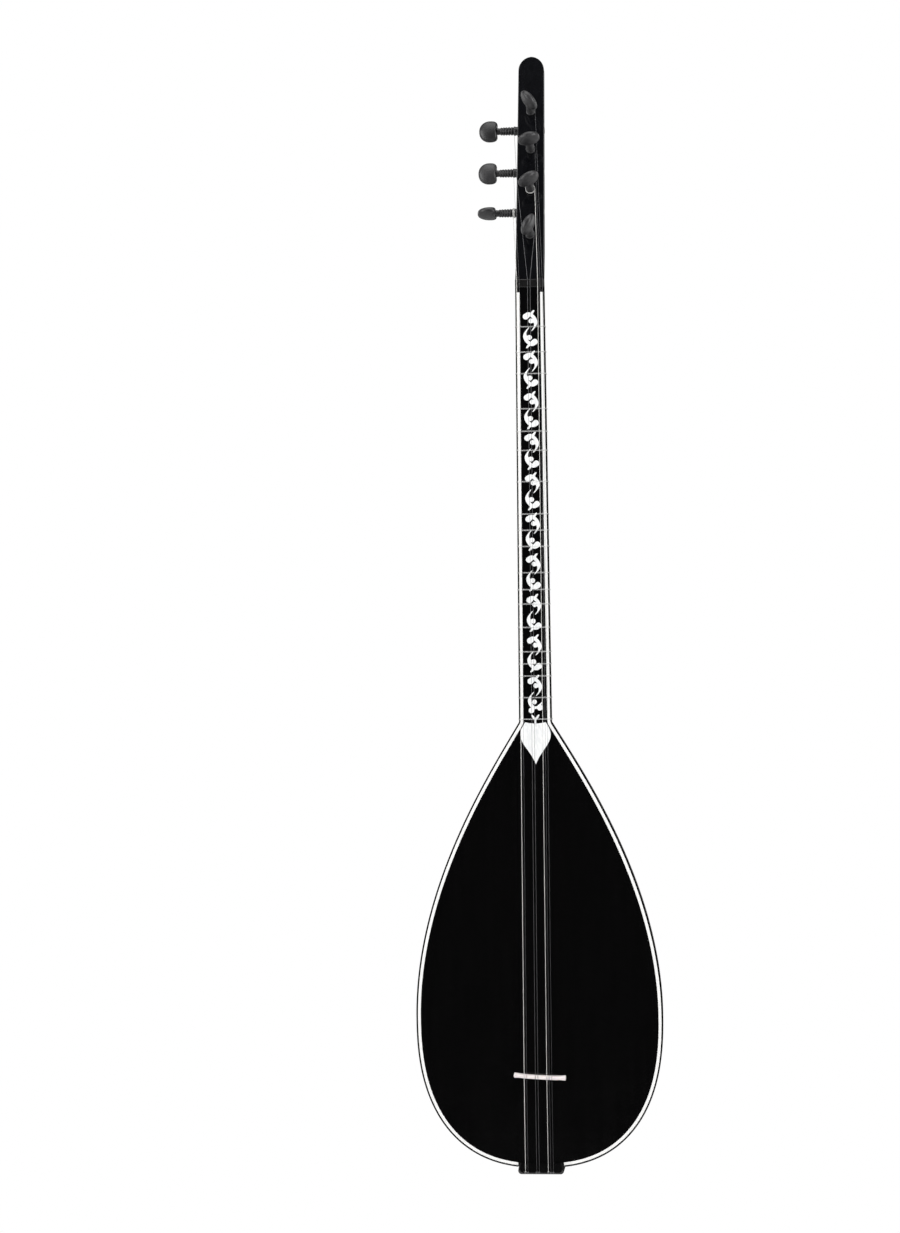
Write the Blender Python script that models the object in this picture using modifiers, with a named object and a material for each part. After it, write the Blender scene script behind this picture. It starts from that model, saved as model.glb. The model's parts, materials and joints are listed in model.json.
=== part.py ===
"""Short-necked baglama (saz): bowl, board, neck, head, tuning pegs, tied frets and strings.

The origin is on the flat end of the tail block, on the centre line and in the plane of the
board's front face. +Z runs up the neck, the board faces -Y and the treble side is +X.
"""
import math

import bmesh
import bpy
from mathutils import Matrix, Vector

MM = 0.001

# Seams and running clearances
SEAM = 0.3 * MM
PEG_CLEARANCE = 0.35 * MM
FRET_CLEARANCE = 0.35 * MM
STRING_CLEARANCE = 0.35 * MM

# Body
BODY_LENGTH = 420.5 * MM          # round end to neck joint
BODY_WIDTH = 233 * MM
BODY_DEPTH = 141 * MM
WIDEST_UP = 142.4 * MM            # widest and deepest line above the round end
TAIL_FULLNESS = 2.42            # superellipse exponent of the outline's round end
DEPTH_FULLNESS = 2.3            # the same for the side profile
SECTION_FULLNESS = 2.2          # the same for each cross-section
FLANK_PULL = 0.443               # Bezier handle above the widest line, share of the flank
SHOULDER_PULL = 45 * MM         # Bezier handle below the neck joint
SHOULDER_SLOPE = 0.6           # of the outline at the joint
HEEL_SLOPE = 0.72               # of the side profile at the joint
BOWL_WALL = 3.5 * MM
SOUND_HOLE_RADIUS = 11 * MM
SOUND_HOLE_BEHIND = 55 * MM     # behind the board's face
BOARD_THICKNESS = 3 * MM
HEART_LENGTH = 40 * MM
PURFLING_WIDTH = 1.4 * MM
BINDING_WIDTH = 2.4 * MM

# Inside the body
TAIL_LINER = (44 * MM, 26 * MM, 16 * MM)
NECK_BLOCK_LENGTH = 38 * MM
TENON = (13 * MM, 11 * MM, 24 * MM)
BRACE_WIDTH = 8 * MM
BRACE_DEPTH = 11 * MM
BRACE_SHARES = {"brace_lower": 0.36, "brace_upper": 0.66}

# Tail block
TAIL_BLOCK_WIDTH = 43.2 * MM
TAIL_BLOCK_DROP = 5.5 * MM        # below the round end
TAIL_BLOCK_PROUD = 3.5 * MM     # in front of the board
TAIL_BLOCK_BACK = 25 * MM
PIN_RADIUS = 0.6 * MM
PIN_HEAD_RADIUS = 0.95 * MM
PIN_HEIGHT = 1.8 * MM
PIN_UP = 2 * MM

# Neck, nut and fingerboard
SCALE_LENGTH = 733 * MM
COMPENSATION = 11 * MM
LAST_FRET_ABOVE_JOINT = 2.6 * MM
NECK_WIDTH_JOINT = 31 * MM
NECK_WIDTH_NUT = 27.6 * MM
NECK_DEPTH_JOINT = 30 * MM
NECK_DEPTH_NUT = 24 * MM
NUT_LENGTH = 7.4 * MM
NUT_PROUD = 1.7 * MM
END_STRIP = 4.4 * MM            # of the fingerboard, full width, between the edging and the nut
FRET_WIDTH = 2 * MM
FRET_THICKNESS = 0.7 * MM
FRET_RATIOS = (256 / 243, 12 / 11, 9 / 8, 32 / 27, 27 / 22, 81 / 64, 4 / 3, 24 / 17, 16 / 11, 3 / 2,
               128 / 81, 18 / 11, 27 / 16, 16 / 9, 32 / 17, 64 / 33, 2, 36 / 17, 9 / 4)

# Bridge
BRIDGE_SPAN = 49.3 * MM
BRIDGE_HEIGHT = 9 * MM
BRIDGE_THICKNESS = 5 * MM
BRIDGE_FOOT = 8.5 * MM
BRIDGE_ARCH = 3 * MM
BRIDGE_END_HEIGHT = 4.5 * MM
BRIDGE_SKEW = math.radians(3.2)

# Head and pegs
HEAD_TILT = math.radians(15)
HEAD_LENGTH = 228.5 * MM
HEAD_WIDTH_TOP = 24.6 * MM
HEAD_DEPTH = 18 * MM
HEAD_DOME = 14 * MM
HEAD_SQUARENESS = 4.5
SCARF_RUN = 38 * MM             # how far the scarf joint runs down the back of the neck
FRONT_PEGS = (171 * MM, 131.5 * MM, 90.5 * MM, 44.5 * MM)
FRONT_PEG_TURNS = (-50, 12, 28, 60)
SIDE_PEGS = (155.5 * MM, 112 * MM, 71 * MM)
SIDE_PEG_TURNS = (0, 0, 90)
PEG_RADIUS = 4.1 * MM           # at the head's face
PEG_TIP_RADIUS = 3.6 * MM
PEG_WAIST_RADIUS = 3 * MM
PEG_RING_RADIUS = 3.9 * MM
PEG_STEM = 20 * MM
PEG_DISC_RADIUS = 10 * MM
PEG_DISC_THICKNESS = 10 * MM

# Strings: place at the nut and at the tail, radius, peg
STRINGS = (
    (-12.2, -14.6, 0.25, "side", 2),
    (-9.8, -12.2, 0.10, "side", 1),
    (-2, -4, 0.15, "side", 0),
    (0.5, -1.6, 0.15, "front", 3),
    (7.6, 6.9, 0.225, "front", 2),
    (9.8, 9.3, 0.10, "front", 1),
    (12, 11.7, 0.10, "front", 0),
)
COIL_TURNS = 2
COIL_POINTS = 10                # a turn
COIL_START = 3.6 * MM           # in front of the head's face
EDGE_CROSSING = 104 * MM         # where the long side string leaves the head's face

# Levels that follow from the sizes above
BOWL_END = TAIL_BLOCK_DROP
JOINT = BOWL_END + BODY_LENGTH
NUT = JOINT + LAST_FRET_ABOVE_JOINT + SCALE_LENGTH * (1 - 1 / FRET_RATIOS[-1])
BRIDGE = NUT - SCALE_LENGTH - COMPENSATION
RIM = BOARD_THICKNESS + SEAM
BOARD_TOP = JOINT
WIDEST = BOWL_END + WIDEST_UP
HEAD_FOOT = NUT + NUT_LENGTH + 2 * SEAM
BINDING_INSET = PURFLING_WIDTH + SEAM
BOARD_INSET = BINDING_INSET + BINDING_WIDTH + SEAM
TAIL_SIDE = TAIL_BLOCK_WIDTH / 2 + SEAM

model = bpy.data.collections.new("baglama")
cutters = bpy.data.collections.new("cutters")


def clear_scene():
    for old in list(bpy.data.objects):
        bpy.data.objects.remove(old, do_unlink=True)
    for group in (model, cutters):
        bpy.context.scene.collection.children.link(group)


def material(name, colour, roughness, metallic=0.0):
    made = bpy.data.materials.new(name)
    made.use_nodes = True
    shader = made.node_tree.nodes["Principled BSDF"]
    shader.inputs["Base Color"].default_value = (*colour, 1)
    shader.inputs["Roughness"].default_value = roughness
    shader.inputs["Metallic"].default_value = metallic
    return made


def new_object(name, data, finish):
    made = bpy.data.objects.new(name, data)
    model.objects.link(made)
    data.materials.clear()
    data.materials.append(finish)
    return made


def hide_cutter(tool):
    for group in list(tool.users_collection):
        group.objects.unlink(tool)
    cutters.objects.link(tool)
    tool.hide_render = True
    tool.display_type = "WIRE"


def combine(target, tool, operation):
    hide_cutter(tool)
    change = target.modifiers.new(operation.lower(), "BOOLEAN")
    change.operation = operation
    change.solver = "EXACT"
    change.object = tool


def box(name, low, high, finish=None, bevel=0.0):
    bpy.ops.mesh.primitive_cube_add(size=1)
    made = bpy.context.object
    made.name = name
    centre = (Vector(low) + Vector(high)) / 2
    size = Vector(high) - Vector(low)
    made.data.transform(Matrix.Translation(centre) @ Matrix.Diagonal((*size, 1)))
    for group in list(made.users_collection):
        group.objects.unlink(made)
    model.objects.link(made)
    if finish:
        made.data.materials.append(finish)
    if bevel:
        edge = made.modifiers.new("edges", "BEVEL")
        edge.width = bevel
        edge.segments = 2
    return made


def as_mesh(source, name, finish):
    """Turn a curve object into a closed mesh object in the same place."""
    bpy.context.view_layer.update()
    ready = source.evaluated_get(bpy.context.evaluated_depsgraph_get())
    data = bpy.data.meshes.new_from_object(ready)
    shape = bmesh.new()
    shape.from_mesh(data)
    bmesh.ops.remove_doubles(shape, verts=shape.verts, dist=1e-6)
    shape.to_mesh(data)
    shape.free()
    place = source.matrix_world.copy()
    bpy.data.objects.remove(source)
    made = new_object(name, data, finish)
    made.matrix_world = place
    return made


def plate(name, outlines, thickness, finish):
    """A flat piece: 2D outlines, of which an inner one is a hole, extruded about z = 0."""
    data = bpy.data.curves.new(name, "CURVE")
    data.dimensions = "2D"
    data.fill_mode = "BOTH"
    data.extrude = thickness / 2
    for outline in outlines:
        line = data.splines.new("POLY")
        line.points.add(len(outline) - 1)
        line.use_cyclic_u = True
        for point, (x, y) in zip(line.points, outline):
            point.co = (x, y, 0, 1)
    return new_object(name, data, finish)


def board_plate(name, outline, front, back, finish):
    """A plate parallel to the board, from y = front to y = back; its outline is in (x, z)."""
    made = plate(name, [outline], back - front, finish)
    made.rotation_euler = (math.pi / 2, 0, 0)
    made.location = (0, (front + back) / 2, 0)
    return made


def loft(name, rings, finish, capped=True):
    """Skin a row of rings of points; uncapped rings stay open between first and last point."""
    shape = bmesh.new()
    rows = [[shape.verts.new(point) for point in ring] for ring in rings]
    count = len(rings[0])
    for low, high in zip(rows, rows[1:]):
        for i in range(count if capped else count - 1):
            j = (i + 1) % count
            shape.faces.new((low[i], low[j], high[j], high[i]))
    if capped:
        shape.faces.new(rows[0])
        shape.faces.new(rows[-1])
        bmesh.ops.recalc_face_normals(shape, faces=shape.faces)
    data = bpy.data.meshes.new(name)
    shape.to_mesh(data)
    shape.free()
    data.shade_smooth()
    data.set_sharp_from_angle(angle=math.radians(40))
    return new_object(name, data, finish)


def turned(name, profile, finish, steps=14):
    """Turn (radius, height) points, listed from top to bottom, about the Z axis."""
    data = bpy.data.meshes.new(name)
    points = [(radius, 0, height) for radius, height in profile]
    data.from_pydata(points, [(i, i + 1) for i in range(len(points) - 1)], [])
    made = new_object(name, data, finish)
    lathe = made.modifiers.new("lathe", "SCREW")
    lathe.steps = steps
    lathe.render_steps = steps
    lathe.use_merge_vertices = True
    lathe.merge_threshold = 0.00001
    return made


def wire(name, points, radius, finish):
    data = bpy.data.curves.new(name, "CURVE")
    data.dimensions = "3D"
    data.bevel_depth = radius
    data.bevel_resolution = 2
    data.use_fill_caps = True
    line = data.splines.new("POLY")
    line.points.add(len(points) - 1)
    for point, place in zip(line.points, points):
        point.co = (*place, 1)
    return new_object(name, data, finish)


# Outline and profile of the body and neck

def bezier_weights(t):
    return (1 - t) ** 3, 3 * t * (1 - t) ** 2, 3 * t * t * (1 - t), t ** 3


def bezier_point(points, t):
    weights = bezier_weights(t)
    return tuple(sum(w * p[axis] for w, p in zip(weights, points)) for axis in (0, 1))


def flank(level, widest, joint_size, slope):
    """A width or depth between the widest line and the joint: a Bezier that ends at a slope."""
    points = ((widest, WIDEST), (widest, WIDEST + FLANK_PULL * (JOINT - WIDEST)),
              (joint_size + slope * SHOULDER_PULL, JOINT - SHOULDER_PULL), (joint_size, JOINT))
    low, high = 0.0, 1.0
    for _ in range(40):
        middle = (low + high) / 2
        if bezier_point(points, middle)[1] < level:
            low = middle
        else:
            high = middle
    return bezier_point(points, low)[0]


def round_end(level, exponent):
    share = min(max((WIDEST - level) / (WIDEST - BOWL_END), 0), 1)
    return (1 - share ** exponent) ** (1 / exponent)


def neck_share(level):
    return (level - JOINT) / (NUT - JOINT)


def half_width(level):
    """Half the outline's width at a level of the body or neck."""
    if level >= JOINT:
        return (NECK_WIDTH_JOINT + (NECK_WIDTH_NUT - NECK_WIDTH_JOINT) * neck_share(level)) / 2
    if level >= WIDEST:
        return flank(level, BODY_WIDTH / 2, NECK_WIDTH_JOINT / 2, SHOULDER_SLOPE)
    return BODY_WIDTH / 2 * round_end(level, TAIL_FULLNESS)


def depth(level):
    """Depth from the board's face to the back at a level of the body or neck."""
    if level >= JOINT:
        return NECK_DEPTH_JOINT + (NECK_DEPTH_NUT - NECK_DEPTH_JOINT) * neck_share(level)
    if level >= WIDEST:
        return flank(level, BODY_DEPTH, NECK_DEPTH_JOINT, HEEL_SLOPE)
    return RIM + (BODY_DEPTH - RIM) * round_end(level, DEPTH_FULLNESS)


def section(half, back, exponent, count=18, front=RIM):
    """Points (x, y) of a cross-section with a flat front and a round back."""
    points = []
    for i in range(count + 1):
        angle = math.pi * i / count
        across, behind = math.cos(angle), math.sin(angle)
        x = half * math.copysign(abs(across) ** (2 / exponent), across)
        y = front + (back - front) * abs(behind) ** (2 / exponent)
        points.append((x, y))
    return points


def body_levels(lowest_half, lower=9, upper=14):
    """Levels of the body's cross-sections, closer together towards the round end."""
    start = math.acos((2 * lowest_half / BODY_WIDTH) ** (TAIL_FULLNESS / 2))
    levels = []
    for i in range(lower):
        angle = start * (1 - i / lower)
        levels.append(WIDEST - (WIDEST - BOWL_END) * math.sin(angle) ** (2 / TAIL_FULLNESS))
    return levels + [WIDEST + (JOINT - WIDEST) * i / upper for i in range(upper + 1)]


def edge_line(inset, top):
    """The right edge from a level of the neck to the tail block, moved in by an inset."""
    levels = [NUT] + body_levels(0.5 * MM, 16, 18)[::-1]
    line = [Vector((half_width(level), level)) for level in levels]
    line.append(Vector((0, BOWL_END)))
    moved = []
    for i, point in enumerate(line[:-1]):
        after = (line[i + 1] - point).normalized()
        before = (point - line[i - 1]).normalized() if i else after
        normal = Vector((before.y + after.y, -before.x - after.x)).normalized()
        miter = inset / max(normal.dot(Vector((after.y, -after.x))), 0.5)
        moved.append(point + normal * miter)
    kept = clipped(moved, lambda point: top - point.y)
    kept = clipped(kept[::-1], lambda point: max(point.x - TAIL_SIDE, point.y - WIDEST))
    return [tuple(point) for point in kept[::-1]]


def clipped(line, room):
    """Cut a line's start off where the room turns positive."""
    first = next(i for i, point in enumerate(line) if room(point) > 0)
    gone, kept = line[first - 1], line[first]
    share = room(kept) / (room(kept) - room(gone))
    return [kept.lerp(gone, share)] + line[first:]


def mirrored(outline):
    return [(-x, z) for x, z in outline]


def make_bowl(finish):
    rings = []
    for level in body_levels(20 * MM):
        ring = section(half_width(level), depth(level), SECTION_FULLNESS, 20)
        rings.append([(x, y, level) for x, y in ring])
    bowl = loft("bowl", rings, finish, capped=False)
    wall = bowl.modifiers.new("wall", "SOLIDIFY")
    wall.thickness = BOWL_WALL
    wall.offset = -1
    wall.use_even_offset = True
    bpy.ops.mesh.primitive_cylinder_add(vertices=24, radius=SOUND_HOLE_RADIUS, depth=60 * MM)
    hole = bpy.context.object
    hole.name = "sound_hole_cutter"
    hole.location = (0, SOUND_HOLE_BEHIND, BOWL_END + 10 * MM)
    combine(bowl, hole, "DIFFERENCE")


def make_board(finish, inlay_finish):
    right = edge_line(BOARD_INSET, BOARD_TOP)
    flat = board_plate("soundboard_outline", right + mirrored(right)[::-1], 0, BOARD_THICKNESS, finish)
    board = as_mesh(flat, "soundboard", finish)
    heart = heart_outline(0)
    pocket = board_plate("heart_pocket", heart_outline(SEAM), -1 * MM, 1.5 * MM, finish)
    combine(board, as_mesh(pocket, "heart_cutter", finish), "DIFFERENCE")
    board_plate("heart_inlay", heart, 0, 1.2 * MM, inlay_finish)


def heart_outline(grow):
    """A broad heart under the fingerboard's end: flat top, round shoulders, long point."""
    top = BOARD_TOP - SEAM + 4 * grow
    top_half = half_width(BOARD_TOP) - BOARD_INSET - 5 * SEAM + grow
    shoulder = (half_width(JOINT) - 1.2 * MM + grow, BOARD_TOP - 12 * MM)
    point = (0, BOARD_TOP - HEART_LENGTH - 2 * grow)
    upper = ((top_half, top), (top_half + 1.6 * MM, BOARD_TOP - 3 * MM),
             (shoulder[0], shoulder[1] + 5 * MM), shoulder)
    lower = (shoulder, (shoulder[0], shoulder[1] - 9 * MM),
             (5 * MM + grow, point[1] + 13 * MM), point)
    right = [bezier_point(upper, i / 5) for i in range(5)]
    right += [bezier_point(lower, i / 8) for i in range(9)]
    return right + mirrored(right[:-1])[::-1]


def make_edging(binding_finish, purfling_finish):
    top = NUT - END_STRIP - SEAM
    strips = {"purfling": (0, PURFLING_WIDTH, purfling_finish),
              "binding": (BINDING_INSET, BINDING_INSET + BINDING_WIDTH, binding_finish)}
    for name, (outer, inner, finish) in strips.items():
        outline = edge_line(outer, top) + edge_line(inner, top)[::-1]
        board_plate(name + "_right", outline, 0, BOARD_THICKNESS, finish)
        board_plate(name + "_left", mirrored(outline)[::-1], 0, BOARD_THICKNESS, finish)


def make_inner_pieces(finish):
    width, deep, tall = TAIL_LINER
    foot = BOWL_END + 2 * BOWL_WALL
    box("tail_liner", (-width / 2, RIM, foot), (width / 2, RIM + deep, foot + tall), finish, MM)
    for name, share in BRACE_SHARES.items():
        level = BOWL_END + share * BODY_LENGTH
        reach = half_width(level + BRACE_WIDTH / 2) - 1.6 * BOWL_WALL
        box(name, (-reach, RIM, level - BRACE_WIDTH / 2),
            (reach, RIM + BRACE_DEPTH, level + BRACE_WIDTH / 2), finish, MM)
    inset = 1.5 * BOWL_WALL
    rings = []
    for i in range(5):
        level = JOINT - SEAM - NECK_BLOCK_LENGTH * (1 - i / 4)
        ring = section(half_width(level) - inset, depth(level) - inset, SECTION_FULLNESS, 14)
        rings.append([(x, y, level) for x, y in ring])
    block = loft("neck_block", rings, finish)
    low, high = tenon_box(SEAM)
    combine(block, box("mortise_cutter", low, high), "DIFFERENCE")


def tenon_box(grow):
    across, deep, long = TENON
    front = RIM + 4 * MM
    low = (-across / 2 - grow, front - grow, JOINT - long - grow)
    return low, (across / 2 + grow, front + deep + grow, JOINT + 4 * MM)


def make_tail_block(finish, pin_finish):
    half = TAIL_BLOCK_WIDTH / 2
    lip_top = edge_line(BOARD_INSET, BOARD_TOP)[-1][1] - SEAM
    block = box("tail_block", (-half, -TAIL_BLOCK_PROUD, 0),
                (half, BOARD_THICKNESS, lip_top), finish)
    foot = box("tail_foot_cutter", (-half, BOARD_THICKNESS - MM, 0),
               (half, TAIL_BLOCK_BACK, BOWL_END - SEAM))
    combine(block, foot, "UNION")
    edge = block.modifiers.new("edges", "BEVEL")
    edge.width = 0.8 * MM
    edge.segments = 2
    for i, spec in enumerate(STRINGS):
        pin = turned(f"hitch_pin_{i + 1}", (
            (0, PIN_HEIGHT), (PIN_HEAD_RADIUS, PIN_HEIGHT - 0.2 * MM),
            (PIN_HEAD_RADIUS, PIN_HEIGHT - 0.5 * MM), (PIN_RADIUS, PIN_HEIGHT - 0.7 * MM),
            (PIN_RADIUS, 0), (0, 0)), pin_finish, 8)
        pin.rotation_euler = (math.pi / 2, 0, 0)
        pin.location = (spec[1] * MM, -TAIL_BLOCK_PROUD - SEAM, PIN_UP)


def make_neck(wood, board_wood, nut_finish):
    rings = []
    scarf_foot = HEAD_FOOT - SEAM
    slope = SCARF_RUN / (NECK_DEPTH_NUT - RIM)
    for level, lean in ((JOINT + SEAM, 0), (JOINT + 0.5 * (NUT - JOINT), 0),
                        (NUT - 2.4 * SCARF_RUN, 0), (scarf_foot, slope)):
        ring = section(half_width(level), depth(level), SECTION_FULLNESS)
        rings.append([(x, y, level - lean * (y - RIM)) for x, y in ring])
    neck = loft("neck", rings, wood)
    combine(neck, box("tenon_cutter", *tenon_box(0)), "UNION")
    low, end, high = BOARD_TOP + SEAM, NUT - END_STRIP, NUT - SEAM
    outline = [(half_width(z) - BOARD_INSET, z) for z in (low, end)]
    outline += [(half_width(z), z) for z in (end, high)]
    board_plate("fingerboard", outline + mirrored(outline)[::-1], 0, BOARD_THICKNESS, board_wood)
    half = half_width(NUT)
    box("nut", (-half, -NUT_PROUD, NUT), (half, BOARD_THICKNESS, NUT + NUT_LENGTH), nut_finish, 0.6 * MM)


def make_frets(finish):
    for i, ratio in enumerate(FRET_RATIOS):
        level = NUT - SCALE_LENGTH * (1 - 1 / ratio)
        outlines = []
        for grow in (FRET_CLEARANCE + FRET_THICKNESS, FRET_CLEARANCE):
            half = half_width(level - FRET_WIDTH) + grow
            back = section(half, depth(level - FRET_WIDTH) + grow, SECTION_FULLNESS)
            outlines.append([(-half, -grow), (half, -grow)] + back)
        loop = plate(f"fret_{i + 1:02d}", outlines, FRET_WIDTH, finish)
        loop.location = (0, 0, level)


def make_bridge(finish):
    half = BRIDGE_SPAN / 2
    foot = half - BRIDGE_FOOT
    right = [(foot, 0), (half, 0), (half, BRIDGE_END_HEIGHT), (half - 4 * MM, BRIDGE_END_HEIGHT + MM),
             (half - 9 * MM, BRIDGE_HEIGHT - 0.6 * MM), (half - 12 * MM, BRIDGE_HEIGHT)]
    left = mirrored(right)[::-1]
    arch = [(-foot * math.cos(a), BRIDGE_ARCH * math.sin(a)) for a in
            (math.pi * i / 8 for i in range(1, 8))]
    bridge = plate("bridge", [right + left + arch], BRIDGE_THICKNESS, finish)
    turn = Matrix.Rotation(BRIDGE_SKEW, 4, "Y") @ Matrix.Diagonal((1, -1, -1, 1))
    bridge.matrix_world = Matrix.Translation((0, -SEAM, BRIDGE)) @ turn


# Head: places on it are (across, along, in front of its face)

HEAD_UP = Vector((0, math.sin(HEAD_TILT), math.cos(HEAD_TILT)))
HEAD_OUT = Vector((0, -math.cos(HEAD_TILT), math.sin(HEAD_TILT)))


def on_head(across, along, out):
    return Vector((across, RIM, HEAD_FOOT)) + HEAD_UP * along + HEAD_OUT * out


def head_half(along):
    share = min(along / (HEAD_LENGTH - HEAD_DOME), 1)
    return half_width(HEAD_FOOT) + (HEAD_WIDTH_TOP / 2 - half_width(HEAD_FOOT)) * share


def make_headstock(finish):
    slope = SCARF_RUN / (NECK_DEPTH_NUT - RIM)
    foot = section(half_width(HEAD_FOOT), depth(HEAD_FOOT), SECTION_FULLNESS)
    rings = [[(x, y, HEAD_FOOT + 0.2 * MM - slope * (y - RIM)) for x, y in foot]]
    straight = HEAD_LENGTH - HEAD_DOME
    stations = [(14 * MM, 1, 2.8, HEAD_DEPTH + 1.5 * MM), (30 * MM, 1, HEAD_SQUARENESS, HEAD_DEPTH),
                (straight, 1, HEAD_SQUARENESS, HEAD_DEPTH - MM)]
    for i in range(1, 6):
        angle = math.radians(16 * i)
        stations.append((straight + HEAD_DOME * math.sin(angle) / math.sin(math.radians(80)),
                         math.cos(angle), HEAD_SQUARENESS, HEAD_DEPTH - MM - i * 0.3 * MM))
    for along, share, squareness, deep in stations:
        ring = section(head_half(along) * share, deep, squareness, front=0)
        rings.append([tuple(on_head(x, along, -y)) for x, y in ring])
    head = loft("headstock", rings, finish)
    for kind, index, place, out, wide in peg_places():
        reach = peg_reach(kind)
        shape = bmesh.new()
        bmesh.ops.create_cone(shape, cap_ends=True, segments=24,
                              radius1=PEG_TIP_RADIUS + PEG_CLEARANCE,
                              radius2=PEG_RADIUS + PEG_CLEARANCE + 0.4 * MM, depth=reach + 8 * MM)
        data = bpy.data.meshes.new("peg_hole")
        shape.to_mesh(data)
        shape.free()
        cutter = new_object(f"{kind}_peg_hole_{index + 1}", data, finish)
        middle = place - out * (reach / 2)
        cutter.matrix_world = Matrix.Translation(middle) @ peg_turn(out, wide)
        combine(head, cutter, "DIFFERENCE")


def peg_reach(kind):
    return HEAD_DEPTH + 0.6 * MM if kind == "front" else 2 * head_half(SIDE_PEGS[0])


def peg_places():
    """Each peg's kind, number, place on the head's face, outward axis and disc direction."""
    for i, (along, turn) in enumerate(zip(FRONT_PEGS, FRONT_PEG_TURNS)):
        angle = math.radians(turn)
        wide = Vector((math.cos(angle), 0, 0)) + HEAD_UP * math.sin(angle)
        yield "front", i, on_head(0, along, 0), HEAD_OUT, wide
    for i, (along, turn) in enumerate(zip(SIDE_PEGS, SIDE_PEG_TURNS)):
        angle = math.radians(turn)
        wide = HEAD_UP * math.cos(angle) + HEAD_OUT * math.sin(angle)
        place = on_head(-head_half(along), along, -HEAD_DEPTH / 2)
        yield "side", i, place, Vector((-1, 0, 0)), wide


def peg_turn(out, wide):
    return Matrix((wide, out.cross(wide), out)).transposed().to_4x4()


def make_peg_mesh(kind, finish):
    """A peg about its own Z axis, from the head's face at 0 out to the disc."""
    waist, ring = PEG_WAIST_RADIUS, PEG_RING_RADIUS
    reach = peg_reach(kind)
    stem = turned("peg_stem", (
        (0, PEG_STEM + 4 * MM), (waist, PEG_STEM), (ring, 16.5 * MM), (waist, 13.5 * MM),
        (ring, 10.5 * MM), (waist, 8 * MM), (PEG_RADIUS, 4.5 * MM), (PEG_RADIUS, 0),
        (PEG_TIP_RADIUS, -reach), (0, -reach)), finish)
    bpy.ops.mesh.primitive_uv_sphere_add(segments=16, ring_count=9, radius=PEG_DISC_RADIUS)
    disc = bpy.context.object
    disc.name = "peg_disc"
    flat = Matrix.Diagonal((1, PEG_DISC_THICKNESS / (2 * PEG_DISC_RADIUS), 1, 1))
    disc.data.transform(Matrix.Translation((0, 0, PEG_STEM + PEG_DISC_RADIUS - MM)) @ flat)
    combine(stem, disc, "UNION")
    made = as_mesh(stem, "peg_" + kind, finish)
    bpy.data.objects.remove(disc)
    data = made.data
    bpy.data.objects.remove(made)
    data.shade_smooth()
    data.set_sharp_from_angle(angle=math.radians(40))
    return data


def make_pegs(finish):
    shapes = {kind: make_peg_mesh(kind, finish) for kind in ("front", "side")}
    for kind, index, place, out, wide in peg_places():
        peg = new_object(f"peg_{kind}_{index + 1}", shapes[kind], finish)
        peg.matrix_world = Matrix.Translation(place) @ peg_turn(out, wide)


def coil(place, out, start, radius, wire_radius):
    """Turns about a peg, from one side of it upwards and in towards the head's face."""
    pitch = 2 * wire_radius + STRING_CLEARANCE
    points = []
    for i in range(COIL_TURNS * COIL_POINTS + 1):
        angle = 2 * math.pi * i / COIL_POINTS
        level = COIL_START - pitch * i / COIL_POINTS
        points.append(place + out * level + start * radius * math.cos(angle)
                      + HEAD_UP * radius * math.sin(angle))
    return points


def make_strings(wound_finish, plain_finish):
    pegs = {(kind, index): (place, out) for kind, index, place, out, wide in peg_places()}
    for i, (nut_x, tail_x, size, kind, index) in enumerate(STRINGS):
        radius = size * MM
        gap = radius + STRING_CLEARANCE
        bridge_x = tail_x + (nut_x - tail_x) * 0.12
        bridge_level = BRIDGE - bridge_x * MM * math.tan(BRIDGE_SKEW)
        lip = edge_line(BOARD_INSET, BOARD_TOP)[-1][1] - SEAM
        points = [
            Vector((tail_x * MM, -TAIL_BLOCK_PROUD - gap, PIN_UP + PIN_HEAD_RADIUS + gap)),
            Vector((tail_x * MM, -TAIL_BLOCK_PROUD - gap, lip - 2 * MM)),
            Vector((bridge_x * MM, -SEAM - BRIDGE_HEIGHT - gap, bridge_level)),
            Vector((nut_x * MM, -NUT_PROUD - gap, NUT)),
            Vector((nut_x * MM, -NUT_PROUD - gap, NUT + NUT_LENGTH)),
        ]
        place, out = pegs[(kind, index)]
        turn = PEG_RADIUS + gap
        if (kind, index) == ("side", 0):
            points.append(on_head(-head_half(EDGE_CROSSING) - gap, EDGE_CROSSING, gap))
        side = Vector((1, 0, 0)) if kind == "front" else HEAD_OUT
        points += coil(place, out, side, turn, radius)
        finish = wound_finish if size > 0.2 else plain_finish
        wire(f"string_{i + 1}", points, radius, finish)


def build():
    clear_scene()
    black = material("black_lacquer", (0.008, 0.008, 0.009), 0.12)
    bowl_black = material("bowl_lacquer", (0.010, 0.009, 0.008), 0.15)
    head_black = material("head_lacquer", (0.012, 0.013, 0.016), 0.2)
    dark_wood = material("dark_neck_wood", (0.022, 0.015, 0.010), 0.35)
    ebony = material("peg_wood", (0.03, 0.03, 0.033), 0.4)
    white = material("white_binding", (0.86, 0.85, 0.83), 0.3)
    bone = material("bone", (0.8, 0.7, 0.68), 0.35)
    inner = material("spruce", (0.55, 0.40, 0.24), 0.7)
    nylon = material("nylon", (0.62, 0.63, 0.64), 0.4)
    steel = material("steel", (0.6, 0.6, 0.6), 0.25, 1.0)
    make_bowl(bowl_black)
    make_board(black, white)
    make_edging(white, black)
    make_inner_pieces(inner)
    make_tail_block(black, steel)
    make_neck(dark_wood, black, ebony)
    make_frets(nylon)
    make_bridge(bone)
    make_headstock(head_black)
    make_pegs(ebony)
    make_strings(steel, steel)


build()
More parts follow.
